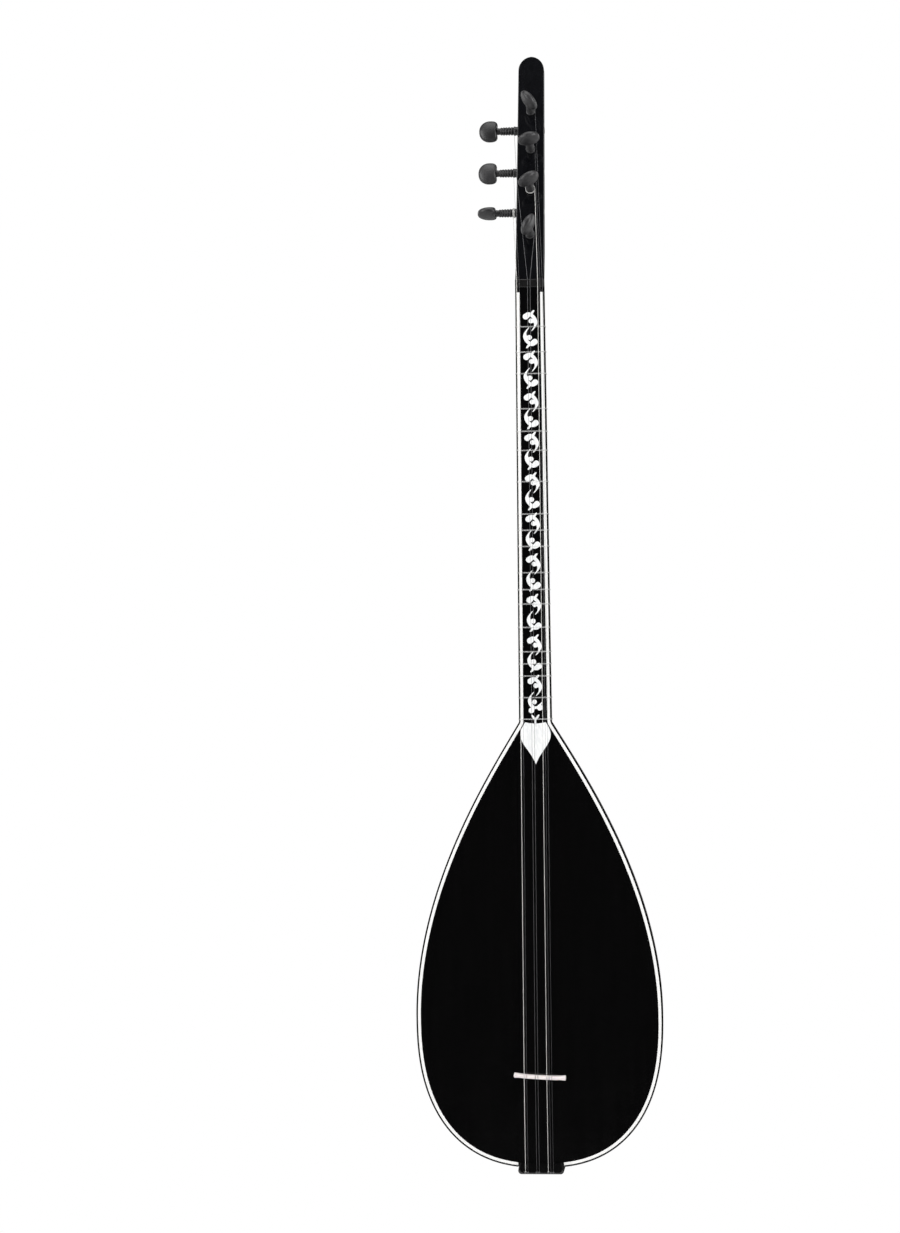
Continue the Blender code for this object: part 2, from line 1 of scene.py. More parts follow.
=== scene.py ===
# %% [markdown]
# # A short-necked baglama
# The baglama is a long lute with a pear-shaped bowl, a thin neck with tied frets and seven pegs.
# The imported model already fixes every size, place and joint, so this lesson only makes what the
# eye sees: fine surfaces, lacquer, wood, pearl and wire. All sizes are in metres, +Z runs up the
# neck and the board faces -Y. Each piece ends up at the origin with its place in its mesh.

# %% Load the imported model
import json
import math

import bmesh
import bpy
from mathutils import Matrix, Vector


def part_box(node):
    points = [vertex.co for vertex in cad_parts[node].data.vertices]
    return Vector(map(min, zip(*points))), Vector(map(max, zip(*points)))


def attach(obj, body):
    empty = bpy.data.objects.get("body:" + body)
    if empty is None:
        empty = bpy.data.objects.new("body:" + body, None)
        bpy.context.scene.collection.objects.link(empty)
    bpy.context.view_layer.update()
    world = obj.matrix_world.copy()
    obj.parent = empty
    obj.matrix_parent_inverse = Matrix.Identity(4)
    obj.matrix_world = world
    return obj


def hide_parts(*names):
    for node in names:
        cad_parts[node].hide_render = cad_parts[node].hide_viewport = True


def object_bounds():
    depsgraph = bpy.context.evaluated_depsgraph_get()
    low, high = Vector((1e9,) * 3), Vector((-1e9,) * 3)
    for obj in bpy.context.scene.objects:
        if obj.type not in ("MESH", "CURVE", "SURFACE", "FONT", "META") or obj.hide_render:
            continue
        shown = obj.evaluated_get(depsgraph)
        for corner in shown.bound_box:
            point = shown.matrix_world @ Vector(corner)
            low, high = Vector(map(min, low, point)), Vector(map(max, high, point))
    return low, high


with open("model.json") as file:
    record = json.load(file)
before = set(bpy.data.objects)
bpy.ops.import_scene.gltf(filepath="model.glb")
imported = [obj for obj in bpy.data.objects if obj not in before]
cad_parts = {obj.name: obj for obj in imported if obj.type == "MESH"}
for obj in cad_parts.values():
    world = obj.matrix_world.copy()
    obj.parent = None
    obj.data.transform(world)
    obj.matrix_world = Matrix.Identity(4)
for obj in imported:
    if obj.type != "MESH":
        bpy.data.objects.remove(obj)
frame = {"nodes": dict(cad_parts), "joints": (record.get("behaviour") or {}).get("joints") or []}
cad_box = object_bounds()
MM = 0.001

# %% [markdown]
# ## Sizes
# A maker draws the body once and lets everything else follow that drawing. The same is done here:
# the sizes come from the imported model's boxes and joints, and only what a box can't tell, such as
# how full a curve is, is named again.

# %% Body sizes
SEAM = 0.3 * MM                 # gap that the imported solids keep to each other
TAIL_FULLNESS = 2.42            # superellipse exponents of the outline, side and cross-section
DEPTH_FULLNESS = 2.3
SECTION_FULLNESS = 2.2
WIDEST_UP = 142.4 * MM          # widest line above the round end
FLANK_PULL = 0.443
SHOULDER_PULL = 45 * MM
SHOULDER_SLOPE = 0.6
HEEL_SLOPE = 0.72
BOWL_WALL = 3.5 * MM
END_OPENING = 20 * MM           # half width of the bowl's end under the tail block
SOUND_HOLE_RADIUS = 11 * MM
SOUND_HOLE_BEHIND = 55 * MM

bowl_low, bowl_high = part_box("bowl")
nut_low, nut_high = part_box("nut")
END_ANGLE = math.acos((END_OPENING / bowl_high.x) ** (TAIL_FULLNESS / 2))
BOWL_END = bowl_low.z - WIDEST_UP * (1 - math.sin(END_ANGLE) ** (2 / TAIL_FULLNESS))
WIDEST = BOWL_END + WIDEST_UP
JOINT = bowl_high.z
NUT = nut_low.z
BOARD_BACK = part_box("soundboard")[1].y
BINDING_INSET = bowl_high.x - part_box("binding_right")[1].x - SEAM / 2
BOARD_INSET = bowl_high.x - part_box("soundboard")[1].x - SEAM / 2
TAIL_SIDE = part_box("tail_block")[1].x
STRIP_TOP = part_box("binding_right")[1].z
print(f"joint {JOINT:.4f}, nut {NUT:.4f}, round end {BOWL_END:.4f}")

# %% Neck and head sizes
FRET_GROWTH = (0.35 + 0.7) * MM  # a fret loop's outside over the neck's own surface
HEAD_DEPTH = 18 * MM
HEAD_WIDTH_TOP = 24.6 * MM
HEAD_DOME = 14 * MM
HEAD_SQUARENESS = 4.5
SCARF_RUN = 38 * MM

neck_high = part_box("neck")[1]
NECK_HALF_JOINT, NECK_DEPTH_JOINT = neck_high.x, neck_high.y
NECK_HALF_NUT = nut_high.x
fret_low, fret_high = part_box("fret_01")
first_share = (fret_low.z - JOINT) / (NUT - JOINT)
NECK_DEPTH_NUT = NECK_DEPTH_JOINT + (fret_high.y - FRET_GROWTH - NECK_DEPTH_JOINT) / first_share

joints = {joint["child"]: joint for joint in frame["joints"]}
HEAD_OUT = Vector(joints["peg_front_1"]["axis"])
HEAD_UP = Vector((0, HEAD_OUT.z, -HEAD_OUT.y))
HEAD_FOOT = nut_high.z + 2 * SEAM
HEAD_LENGTH = (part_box("headstock")[1].z - HEAD_FOOT) / HEAD_UP.z
print(f"neck depth at the nut {NECK_DEPTH_NUT:.4f}, head length {HEAD_LENGTH:.4f}")

# %% [markdown]
# ## Small helpers
# A few helpers do the fitting work: they give a mesh its object, turn modifiers into plain mesh,
# skin a row of rings, soften edges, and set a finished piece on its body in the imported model.

# %% Mesh helpers
SHARP = math.radians(38)


def new_piece(name, data):
    piece = bpy.data.objects.new(name, data)
    bpy.context.scene.collection.objects.link(piece)
    return piece


def smooth(piece, angle=SHARP):
    piece.data.shade_smooth()
    piece.data.set_sharp_from_angle(angle=angle)
    return piece


def settled(source):
    """A plain mesh piece in place of an object with modifiers."""
    bpy.context.view_layer.update()
    ready = source.evaluated_get(bpy.context.evaluated_depsgraph_get())
    data = bpy.data.meshes.new_from_object(ready)
    data.transform(source.matrix_world)
    name = source.name
    bpy.data.objects.remove(source)
    return new_piece(name, data)


def flat_faced(piece):
    """Smooth shading that leaves the broad faces flat, for pieces with softened edges."""
    even = smooth(piece).modifiers.new("flat faces", "WEIGHTED_NORMAL")
    even.keep_sharp = True
    return settled(piece)


def from_shape(name, shape):
    """A piece from a bmesh, with its faces pointing outwards."""
    bmesh.ops.recalc_face_normals(shape, faces=shape.faces)
    data = bpy.data.meshes.new(name)
    shape.to_mesh(data)
    shape.free()
    return new_piece(name, data)


def loft(name, rings, capped=True):
    """Skin a row of closed rings of points."""
    shape = bmesh.new()
    rows = [[shape.verts.new(point) for point in ring] for ring in rings]
    count = len(rings[0])
    for low, high in zip(rows, rows[1:]):
        for i in range(count):
            j = (i + 1) % count
            shape.faces.new((low[i], low[j], high[j], high[i]))
    if capped:
        shape.faces.new(rows[0])
        shape.faces.new(rows[-1])
    return from_shape(name, shape)


def plate(name, outline, front, back):
    """A flat piece parallel to the board; its outline is in (x, z)."""
    return loft(name, [[(x, y, z) for x, z in outline] for y in (front, back)])


def combine(piece, operation, *tools):
    """Cut the tools' shapes out of a piece, or join them to it, and remove the tools."""
    for tool in tools:
        change = piece.modifiers.new("combine", "BOOLEAN")
        change.operation = operation
        change.solver = "EXACT"
        change.object = tool
    made = settled(piece)
    for tool in tools:
        bpy.data.objects.remove(tool)
    return made


def cut(piece, *tools):
    return combine(piece, "DIFFERENCE", *tools)


def rounded(piece, width, segments=3, angle=SHARP):
    edge = piece.modifiers.new("edges", "BEVEL")
    edge.width = width
    edge.segments = segments
    edge.limit_method = "ANGLE"
    edge.angle_limit = angle
    return settled(piece)


def place_piece(piece, body, slot, finish, *nodes):
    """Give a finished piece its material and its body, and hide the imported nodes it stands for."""
    piece.data.materials.clear()
    piece.data.materials.append(finish)
    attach(piece, body)
    if nodes:
        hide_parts(*nodes)
    return piece


def mirrored(outline):
    return [(-x, z) for x, z in outline]


def curve_point(points, t):
    """A point of the cubic Bezier curve through four points of any kind of number."""
    weights = ((1 - t) ** 3, 3 * t * (1 - t) ** 2, 3 * t ** 2 * (1 - t), t ** 3)
    return tuple(sum(w * p[axis] for w, p in zip(weights, points)) for axis in range(len(points[0])))


# %% [markdown]
# ## Formulas inside node trees
# Both materials and Geometry Nodes are graphs of small sums. Written node by node they are hard to
# read, so a number in a tree becomes a `Value` here: adding or multiplying it makes the Math node.
# That lets one formula serve Python and a node tree alike.

# %% Values and nodes
def put(tree, socket, value):
    """Link a value or a socket into a socket, or set the plain number or colour."""
    value = value.socket if isinstance(value, Value) else value
    if isinstance(value, bpy.types.NodeSocket):
        tree.links.new(value, socket)
    else:
        socket.default_value = value


def add(tree, kind, inputs=(), **settings):
    """A node of a kind, with its settings and its inputs by name or number."""
    node = tree.nodes.new(kind)
    for name, value in settings.items():
        setattr(node, name, value)
    for name, value in dict(inputs).items():
        put(tree, node.inputs[name], value)
    return node


class Value:
    """A number inside a node tree."""

    def __init__(self, tree, socket):
        self.tree = tree
        self.socket = socket

    def maths(self, operation, *others, clamp=False):
        inputs = dict(enumerate((self, *others)))
        node = add(self.tree, "ShaderNodeMath", inputs, operation=operation, use_clamp=clamp)
        return Value(self.tree, node.outputs[0])

    def __add__(self, other):
        return self.maths("ADD", other)

    def __mul__(self, other):
        return self.maths("MULTIPLY", other)

    def __sub__(self, other):
        return self.maths("SUBTRACT", other)

    def __rsub__(self, other):
        return self.maths("MULTIPLY", -1).maths("ADD", other)

    def __truediv__(self, other):
        return self.maths("DIVIDE", other)

    def __pow__(self, power):
        return self.maths("POWER", power)

    __radd__ = __add__
    __rmul__ = __mul__


def sine(angle):
    return angle.maths("SINE") if isinstance(angle, Value) else math.sin(angle)


def cosine(angle):
    return angle.maths("COSINE") if isinstance(angle, Value) else math.cos(angle)


# %% Groups of nodes
SOCKETS = {"number": "NodeSocketFloat", "count": "NodeSocketInt", "vector": "NodeSocketVector",
           "colour": "NodeSocketColor", "shape": "NodeSocketGeometry", "finish": "NodeSocketMaterial"}


def new_group(name, kind, inputs, outputs):
    """A node group with named sockets; returns its tree, its inputs and its output node."""
    tree = bpy.data.node_groups.new(name, kind)
    for label, what in inputs.items():
        tree.interface.new_socket(label, in_out="INPUT", socket_type=SOCKETS[what])
    for label, what in outputs.items():
        tree.interface.new_socket(label, in_out="OUTPUT", socket_type=SOCKETS[what])
    given = add(tree, "NodeGroupInput").outputs
    values = {label: Value(tree, given[label]) for label in inputs}
    return tree, values, add(tree, "NodeGroupOutput")


def grown(name, tree, sizes, data=None):
    """Run a geometry tree on a mesh and keep its result as a plain mesh piece."""
    base = new_piece(name, data or bpy.data.meshes.new(name))
    change = base.modifiers.new("tree", "NODES")
    change.node_group = tree
    for socket in tree.interface.items_tree:
        if socket.in_out == "INPUT" and socket.name in sizes:
            change[socket.identifier] = sizes[socket.name]
    made = settled(base)
    print(f"{name}: {len(made.data.polygons)} faces from the tree '{tree.name}'")
    return made


def close_tree(tree, end, shape, finish):
    """End a geometry tree the way an export needs it: real geometry with its material set."""
    real = add(tree, "GeometryNodeRealizeInstances", {"Geometry": shape})
    painted = add(tree, "GeometryNodeSetMaterial", {"Geometry": real.outputs[0], "Material": finish})
    put(tree, end.inputs[0], painted.outputs[0])


# %% [markdown]
# ## Shared surface effects
# Real finishes are never even. Lacquer shows soft ripples and polishing haze, wood shows streaks
# along its grain, celluloid pearl shows slow swirls. Each effect is one node group with named
# inputs, so that every material can use it with its own scale.

# %% Streaks along the grain
def stretched_place(tree, place, across, along):
    """The place on the piece, scaled more across the grain (x, y) than along it (z)."""
    parts = add(tree, "ShaderNodeSeparateXYZ", {0: place})
    x, y, z = (Value(tree, part) for part in parts.outputs)
    return add(tree, "ShaderNodeCombineXYZ", {0: x * across, 1: y * across, 2: z * along}).outputs[0]


def blend_colours(tree, share, first, second):
    """A colour between two, by a share."""
    mix = add(tree, "ShaderNodeMix", data_type="RGBA")
    for slot, value in ((0, share), (6, first), (7, second)):
        put(tree, mix.inputs[slot], value)
    return mix.outputs[2]


def make_streaks():
    tree, given, end = new_group("streaks", "ShaderNodeTree", {
        "Place": "vector", "Across": "number", "Along": "number", "Dark": "colour", "Light": "colour"},
        {"Colour": "colour", "Streak": "number"})
    place = stretched_place(tree, given["Place"], given["Across"], given["Along"])
    broad = add(tree, "ShaderNodeTexNoise", {"Vector": place, "Scale": 1, "Detail": 5, "Roughness": 0.62,
                                             "Distortion": 0.35})
    fine = add(tree, "ShaderNodeTexNoise", {"Vector": place, "Scale": 5.3, "Detail": 3, "Roughness": 0.6})
    streak = Value(tree, broad.outputs[0]) * 0.65 + Value(tree, fine.outputs[0]) * 0.35
    sharper = ((streak - 0.5) * 2.6).maths("ADD", 0.5, clamp=True)
    put(tree, end.inputs["Streak"], sharper)
    put(tree, end.inputs["Colour"], blend_colours(tree, sharper, given["Dark"], given["Light"]))
    return tree


streaks = make_streaks()

# %% Polish: haze, ripples and fine scratches
def make_polish():
    tree, given, end = new_group("polish", "ShaderNodeTree", {
        "Place": "vector", "Glossiest": "number", "Dullest": "number"},
        {"Roughness": "number", "Height": "number"})
    haze = add(tree, "ShaderNodeTexNoise", {"Vector": given["Place"], "Scale": 34, "Detail": 4,
                                            "Roughness": 0.6})
    ripple = add(tree, "ShaderNodeTexNoise", {"Vector": given["Place"], "Scale": 95, "Detail": 1.5,
                                              "Roughness": 0.5})
    scratch_place = stretched_place(tree, given["Place"], 900, 60)
    scratch = add(tree, "ShaderNodeTexNoise", {"Vector": scratch_place, "Scale": 1, "Detail": 2})
    marks = ((Value(tree, scratch.outputs[0]) - 0.58) * 5).maths("ADD", 0, clamp=True)
    haze_share = ((Value(tree, haze.outputs[0]) - 0.5) * 2.2).maths("ADD", 0.4, clamp=True)
    share = (haze_share * 0.75 + marks * 0.25).maths("ADD", 0, clamp=True)
    span = given["Dullest"] - given["Glossiest"]
    put(tree, end.inputs["Roughness"], given["Glossiest"] + span * share)
    put(tree, end.inputs["Height"], Value(tree, ripple.outputs[0]) + marks * 0.15)
    return tree


polish = make_polish()

# %% Pearl swirls
def make_swirls():
    tree, given, end = new_group("swirls", "ShaderNodeTree", {
        "Place": "vector", "Scale": "number", "Shade": "colour", "Shine": "colour"},
        {"Colour": "colour", "Swirl": "number"})
    place = stretched_place(tree, given["Place"], given["Scale"], given["Scale"] * 0.35)
    cloud = add(tree, "ShaderNodeTexNoise", {"Vector": place, "Scale": 1, "Detail": 2.5,
                                             "Roughness": 0.5, "Distortion": 2.2})
    cells = add(tree, "ShaderNodeTexVoronoi", {"Vector": place, "Scale": 1.7}, feature="SMOOTH_F1")
    swirl = Value(tree, cloud.outputs[0]) * 0.75 + Value(tree, cells.outputs[0]) * 0.3
    clear = ((swirl - 0.45) * 2.4).maths("ADD", 0.5, clamp=True)
    put(tree, end.inputs["Swirl"], clear)
    put(tree, end.inputs["Colour"], blend_colours(tree, clear, given["Shade"], given["Shine"]))
    return tree


swirls = make_swirls()
print("effects:", [tree.name for tree in (streaks, polish, swirls)])

# %% [markdown]
# ## Finishes
# Each finish is one Principled shader. The black parts are lacquered wood, so they have a dark
# base under a clear coat. Numbers that are the same all over stay on the shader itself, and only
# what varies over the surface comes from the shared effects.

# %% The common start of every finish
def new_finish(name, **fixed):
    """A material with its shader, its object-space place and its fixed values."""
    made = bpy.data.materials.new(name)
    made.use_nodes = True
    tree = made.node_tree
    shader = tree.nodes["Principled BSDF"]
    for label, value in fixed.items():
        shader.inputs[label.replace("_", " ").title().replace("Ior", "IOR")].default_value = value
    place = add(tree, "ShaderNodeTexCoord").outputs["Object"]
    return made, tree, shader, place


def effect(tree, group, inputs):
    node = add(tree, "ShaderNodeGroup", node_tree=group)
    for name, value in inputs.items():
        put(tree, node.inputs[name], value)
    return node.outputs


def bump(tree, shader, height, distance, strength=1.0):
    node = add(tree, "ShaderNodeBump", {"Height": height, "Distance": distance, "Strength": strength})
    put(tree, shader.inputs["Normal"], node.outputs[0])


def polished(tree, shader, place, glossiest, dullest, ripple):
    """Haze in the gloss and soft ripples in the surface."""
    given = effect(tree, polish, {"Place": place, "Glossiest": glossiest, "Dullest": dullest})
    put(tree, shader.inputs["Roughness"], given["Roughness"])
    bump(tree, shader, given["Height"], ripple)


# %% Lacquer, wood, celluloid, bone and horn
def streaked_finish(name, dark, light, across, along, gloss, ripple, **fixed):
    made, tree, shader, place = new_finish(name, **fixed)
    grain = effect(tree, streaks, {"Place": place, "Across": across, "Along": along,
                                   "Dark": (*dark, 1), "Light": (*light, 1)})
    put(tree, shader.inputs["Base Color"], grain["Colour"])
    polished(tree, shader, place, gloss[0], gloss[1], ripple)
    return made


LACQUER = {"coat_weight": 0.5, "coat_roughness": 0.03, "specular_ior_level": 0.3}
finishes = {
    "board_lacquer": streaked_finish("board_lacquer", (0.0006, 0.0006, 0.0007), (0.0019, 0.0018, 0.0019),
                                     190, 9, (0.06, 0.15), 0.00002, **LACQUER),
    "bowl_lacquer": streaked_finish("bowl_lacquer", (0.0016, 0.0013, 0.0010), (0.0042, 0.0034, 0.0026),
                                    120, 12, (0.14, 0.26), 0.00004, coat_weight=0.5, coat_roughness=0.12,
                                    specular_ior_level=0.3),
    "head_lacquer": streaked_finish("head_lacquer", (0.0011, 0.0012, 0.0016), (0.0042, 0.0044, 0.0056),
                                    260, 16, (0.08, 0.18), 0.00003, **LACQUER),
    "neck_wood": streaked_finish("neck_wood", (0.0032, 0.0022, 0.0015), (0.013, 0.0085, 0.0055),
                                 420, 15, (0.26, 0.42), 0.00003, coat_weight=0.35, coat_roughness=0.12),
    "inner_wood": streaked_finish("inner_wood", (0.36, 0.24, 0.13), (0.60, 0.45, 0.28),
                                  700, 20, (0.6, 0.8), 0.00005),
    "horn_nut": streaked_finish("horn_nut", (0.003, 0.003, 0.0033), (0.012, 0.0115, 0.011),
                                500, 90, (0.22, 0.38), 0.00002),
    "bone": streaked_finish("bone", (0.78, 0.67, 0.66), (0.92, 0.85, 0.84),
                            420, 380, (0.28, 0.45), 0.00003, subsurface_weight=0.06),
    "white_binding": streaked_finish("white_binding", (0.87, 0.865, 0.85), (0.94, 0.938, 0.928),
                                     160, 7, (0.16, 0.30), 0.00001, coat_weight=0.5, coat_roughness=0.06),
}
print("streaked finishes:", ", ".join(finishes))

# %% Pearl for the inlays
def make_pearl(scale):
    made, tree, shader, place = new_finish("pearl_inlay", coat_weight=0.7, coat_roughness=0.05)
    pearl = effect(tree, swirls, {"Place": place, "Scale": scale, "Shade": (0.84, 0.86, 0.87, 1),
                                  "Shine": (0.96, 0.96, 0.95, 1)})
    put(tree, shader.inputs["Base Color"], pearl["Colour"])
    sheen = Value(tree, pearl["Swirl"]) * 0.2 + 0.16
    put(tree, shader.inputs["Roughness"], sheen)
    bump(tree, shader, pearl["Swirl"], 0.00001)
    return made


finishes["pearl_inlay"] = make_pearl(260)

# %% Metal and nylon
WOUND_PITCH = 0.32 * MM


def make_steel(name, colour, wound):
    """Plain wire, or wire with a winding that follows the string's own length."""
    made, tree, shader, place = new_finish(name, metallic=0.6 if wound else 0.8)
    spots = add(tree, "ShaderNodeTexNoise", {"Vector": place, "Scale": 240, "Detail": 3})
    patch = Value(tree, spots.outputs[0])
    dull = tuple(0.8 * c for c in colour)
    put(tree, shader.inputs["Base Color"], blend_colours(tree, patch, (*dull, 1), (*colour, 1)))
    put(tree, shader.inputs["Roughness"], patch * 0.16 + 0.36)
    if wound:
        along = Value(tree, add(tree, "ShaderNodeAttribute", attribute_name="along").outputs["Fac"])
        turn = (along * (2 * math.pi / WOUND_PITCH)).maths("SINE")
        bump(tree, shader, turn, 0.00004, 0.7)
    else:
        bump(tree, shader, patch, 0.00001)
    return made


def make_nylon():
    """Clear fishing line: it lets the board show through, and is clouded where it is doubled behind."""
    made, tree, shader, place = new_finish("nylon", specular_ior_level=0.4)
    y = Value(tree, add(tree, "ShaderNodeSeparateXYZ", {0: place}).outputs[1])
    behind = (y / (6 * MM)).maths("ADD", 0, clamp=True)
    scuffs = add(tree, "ShaderNodeTexNoise", {"Vector": place, "Scale": 600, "Detail": 3})
    scuff = Value(tree, scuffs.outputs[0])
    put(tree, shader.inputs["Base Color"],
        blend_colours(tree, scuff, (0.80, 0.80, 0.79, 1), (0.93, 0.93, 0.92, 1)))
    put(tree, shader.inputs["Roughness"], scuff * 0.2 + 0.22)
    put(tree, shader.inputs["Alpha"], behind * 0.74 + 0.26)
    bump(tree, shader, scuff, 0.00002)
    return made


finishes["steel"] = make_steel("steel", (0.15, 0.15, 0.155), wound=False)
finishes["wound_string"] = make_steel("wound_string", (0.76, 0.75, 0.73), wound=True)
finishes["nylon"] = make_nylon()

# %% Turned peg wood
WORN_TIP = 16.5 * MM            # how far inside the head the stain starts to wear off
WORN_RUN = 2 * MM               # and over what length it goes


def make_peg_wood():
    """Stained hardwood, worn paler on the tip.

    'along' is the height on each peg's own axis; the second attribute says how far the wood is made
    near-black there: all over on the first side peg, and as painted shade on the other pegs' stems under
    their heads.
    """
    made, tree, shader, place = new_finish("peg_wood", coat_weight=0.08, coat_roughness=0.25)
    grain = effect(tree, streaks, {"Place": place, "Across": 330, "Along": 330,
                                   "Dark": (0.003, 0.003, 0.0035, 1), "Light": (0.022, 0.021, 0.023, 1)})
    along = Value(tree, add(tree, "ShaderNodeAttribute", attribute_name="along").outputs["Fac"])
    stain = Value(tree, add(tree, "ShaderNodeAttribute", attribute_name="stain").outputs["Fac"])
    tip = ((along + WORN_TIP) / -WORN_RUN).maths("ADD", 0, clamp=True)
    pale = blend_colours(tree, grain["Streak"], (0.040, 0.032, 0.025, 1), (0.10, 0.082, 0.064, 1))
    # near-black where the second attribute says: the first side peg all over, and painted shade on the other
    # pegs' stems under their heads
    wood = blend_colours(tree, stain, grain["Colour"], (0.0022, 0.0021, 0.0026, 1))
    put(tree, shader.inputs["Base Color"], blend_colours(tree, tip, wood, pale))
    polished(tree, shader, place, 0.42, 0.62, 0.00005)
    return made


finishes["peg_wood"] = make_peg_wood()
print("all finishes:", len(finishes))

# %% [markdown]
# ## The body's drawing
# The outline and the side profile follow two rules: a superellipse round the tail, and one Bezier
# curve from the widest line up to the neck. Both are written for an angle or a share, so the same
# lines serve the bowl's node tree and the edges of the board.

# %% Rules for the outline and depth
BODY = {"Half Width": bowl_high.x, "Depth": bowl_high.y, "Rim": BOARD_BACK, "End": BOWL_END,
        "Widest": WIDEST, "Joint": JOINT, "Neck Half": NECK_HALF_JOINT, "Neck Depth": NECK_DEPTH_JOINT}


def tail_rule(body, angle):
    """Half width, depth and level on the round end; angle 0 is the widest line."""
    share = sine(angle) ** (2 / TAIL_FULLNESS)
    half = body["Half Width"] * cosine(angle) ** (2 / TAIL_FULLNESS)
    thin = (1 - share ** DEPTH_FULLNESS) ** (1 / DEPTH_FULLNESS)
    deep = body["Rim"] + (body["Depth"] - body["Rim"]) * thin
    return half, deep, body["Widest"] - (body["Widest"] - body["End"]) * share


def flank_rule(body, t):
    """Half width, depth and level between the widest line (0) and the neck joint (1)."""
    pull = body["Widest"] + (body["Joint"] - body["Widest"]) * FLANK_PULL
    return curve_point((
        (body["Half Width"], body["Depth"], body["Widest"]),
        (body["Half Width"], body["Depth"], pull),
        (body["Neck Half"] + SHOULDER_SLOPE * SHOULDER_PULL,
         body["Neck Depth"] + HEEL_SLOPE * SHOULDER_PULL, body["Joint"] - SHOULDER_PULL),
        (body["Neck Half"], body["Neck Depth"], body["Joint"])), t)


def neck_share(level):
    return (level - JOINT) / (NUT - JOINT)


def neck_half(level):
    return NECK_HALF_JOINT + (NECK_HALF_NUT - NECK_HALF_JOINT) * neck_share(level)


def neck_depth(level):
    return NECK_DEPTH_JOINT + (NECK_DEPTH_NUT - NECK_DEPTH_JOINT) * neck_share(level)


# %% [markdown]
# ## The bowl
# The bowl is carved or staved, then lacquered black. Its shape is a rule, so Geometry Nodes grow
# it: a flat grid is moved so that one direction runs along the body and the other round the back.
# Solidify then gives the wall, and a cylinder cuts the sound hole at the round end.

# %% Grow the bowl
TAIL_PART = 0.42                # share of the grid's rows that the round end takes


def make_bowl_tree():
    sizes = {label: "number" for label in BODY}
    tree, given, end = new_group("bowl surface", "GeometryNodeTree", {
        "Geometry": "shape", "Around": "count", "Along": "count", "Finish": "finish", **sizes},
        {"Geometry": "shape"})
    grid = add(tree, "GeometryNodeMeshGrid", {"Size X": 1, "Size Y": 1, "Vertices X": given["Around"],
                                              "Vertices Y": given["Along"]})
    flat = add(tree, "ShaderNodeSeparateXYZ", {0: add(tree, "GeometryNodeInputPosition").outputs[0]})
    around = (Value(tree, flat.outputs[0]) + 0.5) * math.pi
    along = Value(tree, flat.outputs[1]) + 0.5
    angle = (along * (-END_ANGLE / TAIL_PART) + END_ANGLE).maths("MAXIMUM", 0)
    t = ((along - TAIL_PART) / (1 - TAIL_PART)).maths("MAXIMUM", 0)
    tail, flank = tail_rule(given, angle), flank_rule(given, t)
    widest = (given["Half Width"], given["Depth"], given["Widest"])
    half, deep, level = (a + b - c for a, b, c in zip(tail, flank, widest))
    across, behind = cosine(around), sine(around).maths("MAXIMUM", 0)
    power = 2 / SECTION_FULLNESS
    x = half * across.maths("SIGN") * across.maths("ABSOLUTE") ** power
    y = given["Rim"] + (deep - given["Rim"]) * behind ** power
    place = add(tree, "ShaderNodeCombineXYZ", {0: x, 1: y, 2: level})
    moved = add(tree, "GeometryNodeSetPosition", {"Geometry": grid.outputs[0], "Position": place.outputs[0]})
    close_tree(tree, end, moved.outputs[0], given["Finish"])
    return tree


def make_bowl():
    bowl = grown("bowl_shell", make_bowl_tree(), {
        "Around": 97, "Along": 170, "Finish": finishes["bowl_lacquer"], **BODY})
    middle = bowl.data.polygons[len(bowl.data.polygons) // 2]
    if middle.normal.y < 0:
        bowl.data.flip_normals()
    wall = bowl.modifiers.new("wall", "SOLIDIFY")
    wall.thickness = BOWL_WALL
    wall.offset = -1
    wall.use_even_offset = True
    bowl = settled(bowl)
    bpy.ops.mesh.primitive_cylinder_add(vertices=64, radius=SOUND_HOLE_RADIUS, depth=60 * MM)
    drill = bpy.context.object
    drill.data.transform(Matrix.Translation((0, SOUND_HOLE_BEHIND, BOWL_END + 10 * MM)))
    return smooth(cut(bowl, drill))


bowl = place_piece(make_bowl(), "instrument", "bowl_lacquer", finishes["bowl_lacquer"], "bowl")
print("bowl faces:", len(bowl.data.polygons))

# %% [markdown]
# ## The board and its edging
# The board is framed by a white binding and a thin black line outside it, and both run on up the
# neck beside the fingerboard. The real strips are bent round the edge, so each one is a ladder of
# small rounded sections between two lines that are the outline moved inwards.

# %% Lines inside the outline
TAIL_ROWS = 90
FLANK_ROWS = 130


def outline_points():
    """The right edge from the nut down to the middle of the round end."""
    flank = [flank_rule(BODY, 1 - i / FLANK_ROWS) for i in range(FLANK_ROWS)]
    tail = [tail_rule(BODY, math.pi / 2 * i / TAIL_ROWS) for i in range(TAIL_ROWS + 1)]
    return [Vector((NECK_HALF_NUT, NUT))] + [Vector((half, level)) for half, deep, level in flank + tail]


def inner_line(inset, top, rows=320):
    """The outline moved in by an inset, from a top level to the tail block, in even steps."""
    line = outline_points()
    moved = []
    for i, point in enumerate(line[:-1]):
        after = (line[i + 1] - point).normalized()
        before = (point - line[i - 1]).normalized() if i else after
        normal = Vector((before.y + after.y, -before.x - after.x)).normalized()
        miter = inset / max(normal.dot(Vector((after.y, -after.x))), 0.5)
        moved.append(point + normal * miter)
    moved = clipped(moved, lambda point: top - point.y)
    moved = clipped(moved[::-1], lambda point: max(point.x - TAIL_SIDE, point.y - WIDEST))[::-1]
    return even_steps(moved, rows)


def clipped(line, room):
    """Cut a line's start off where the room turns positive."""
    first = next(i for i, point in enumerate(line) if room(point) > 0)
    if first == 0:
        return line
    gone, kept = line[first - 1], line[first]
    share = room(kept) / (room(kept) - room(gone))
    return [kept.lerp(gone, share)] + line[first:]


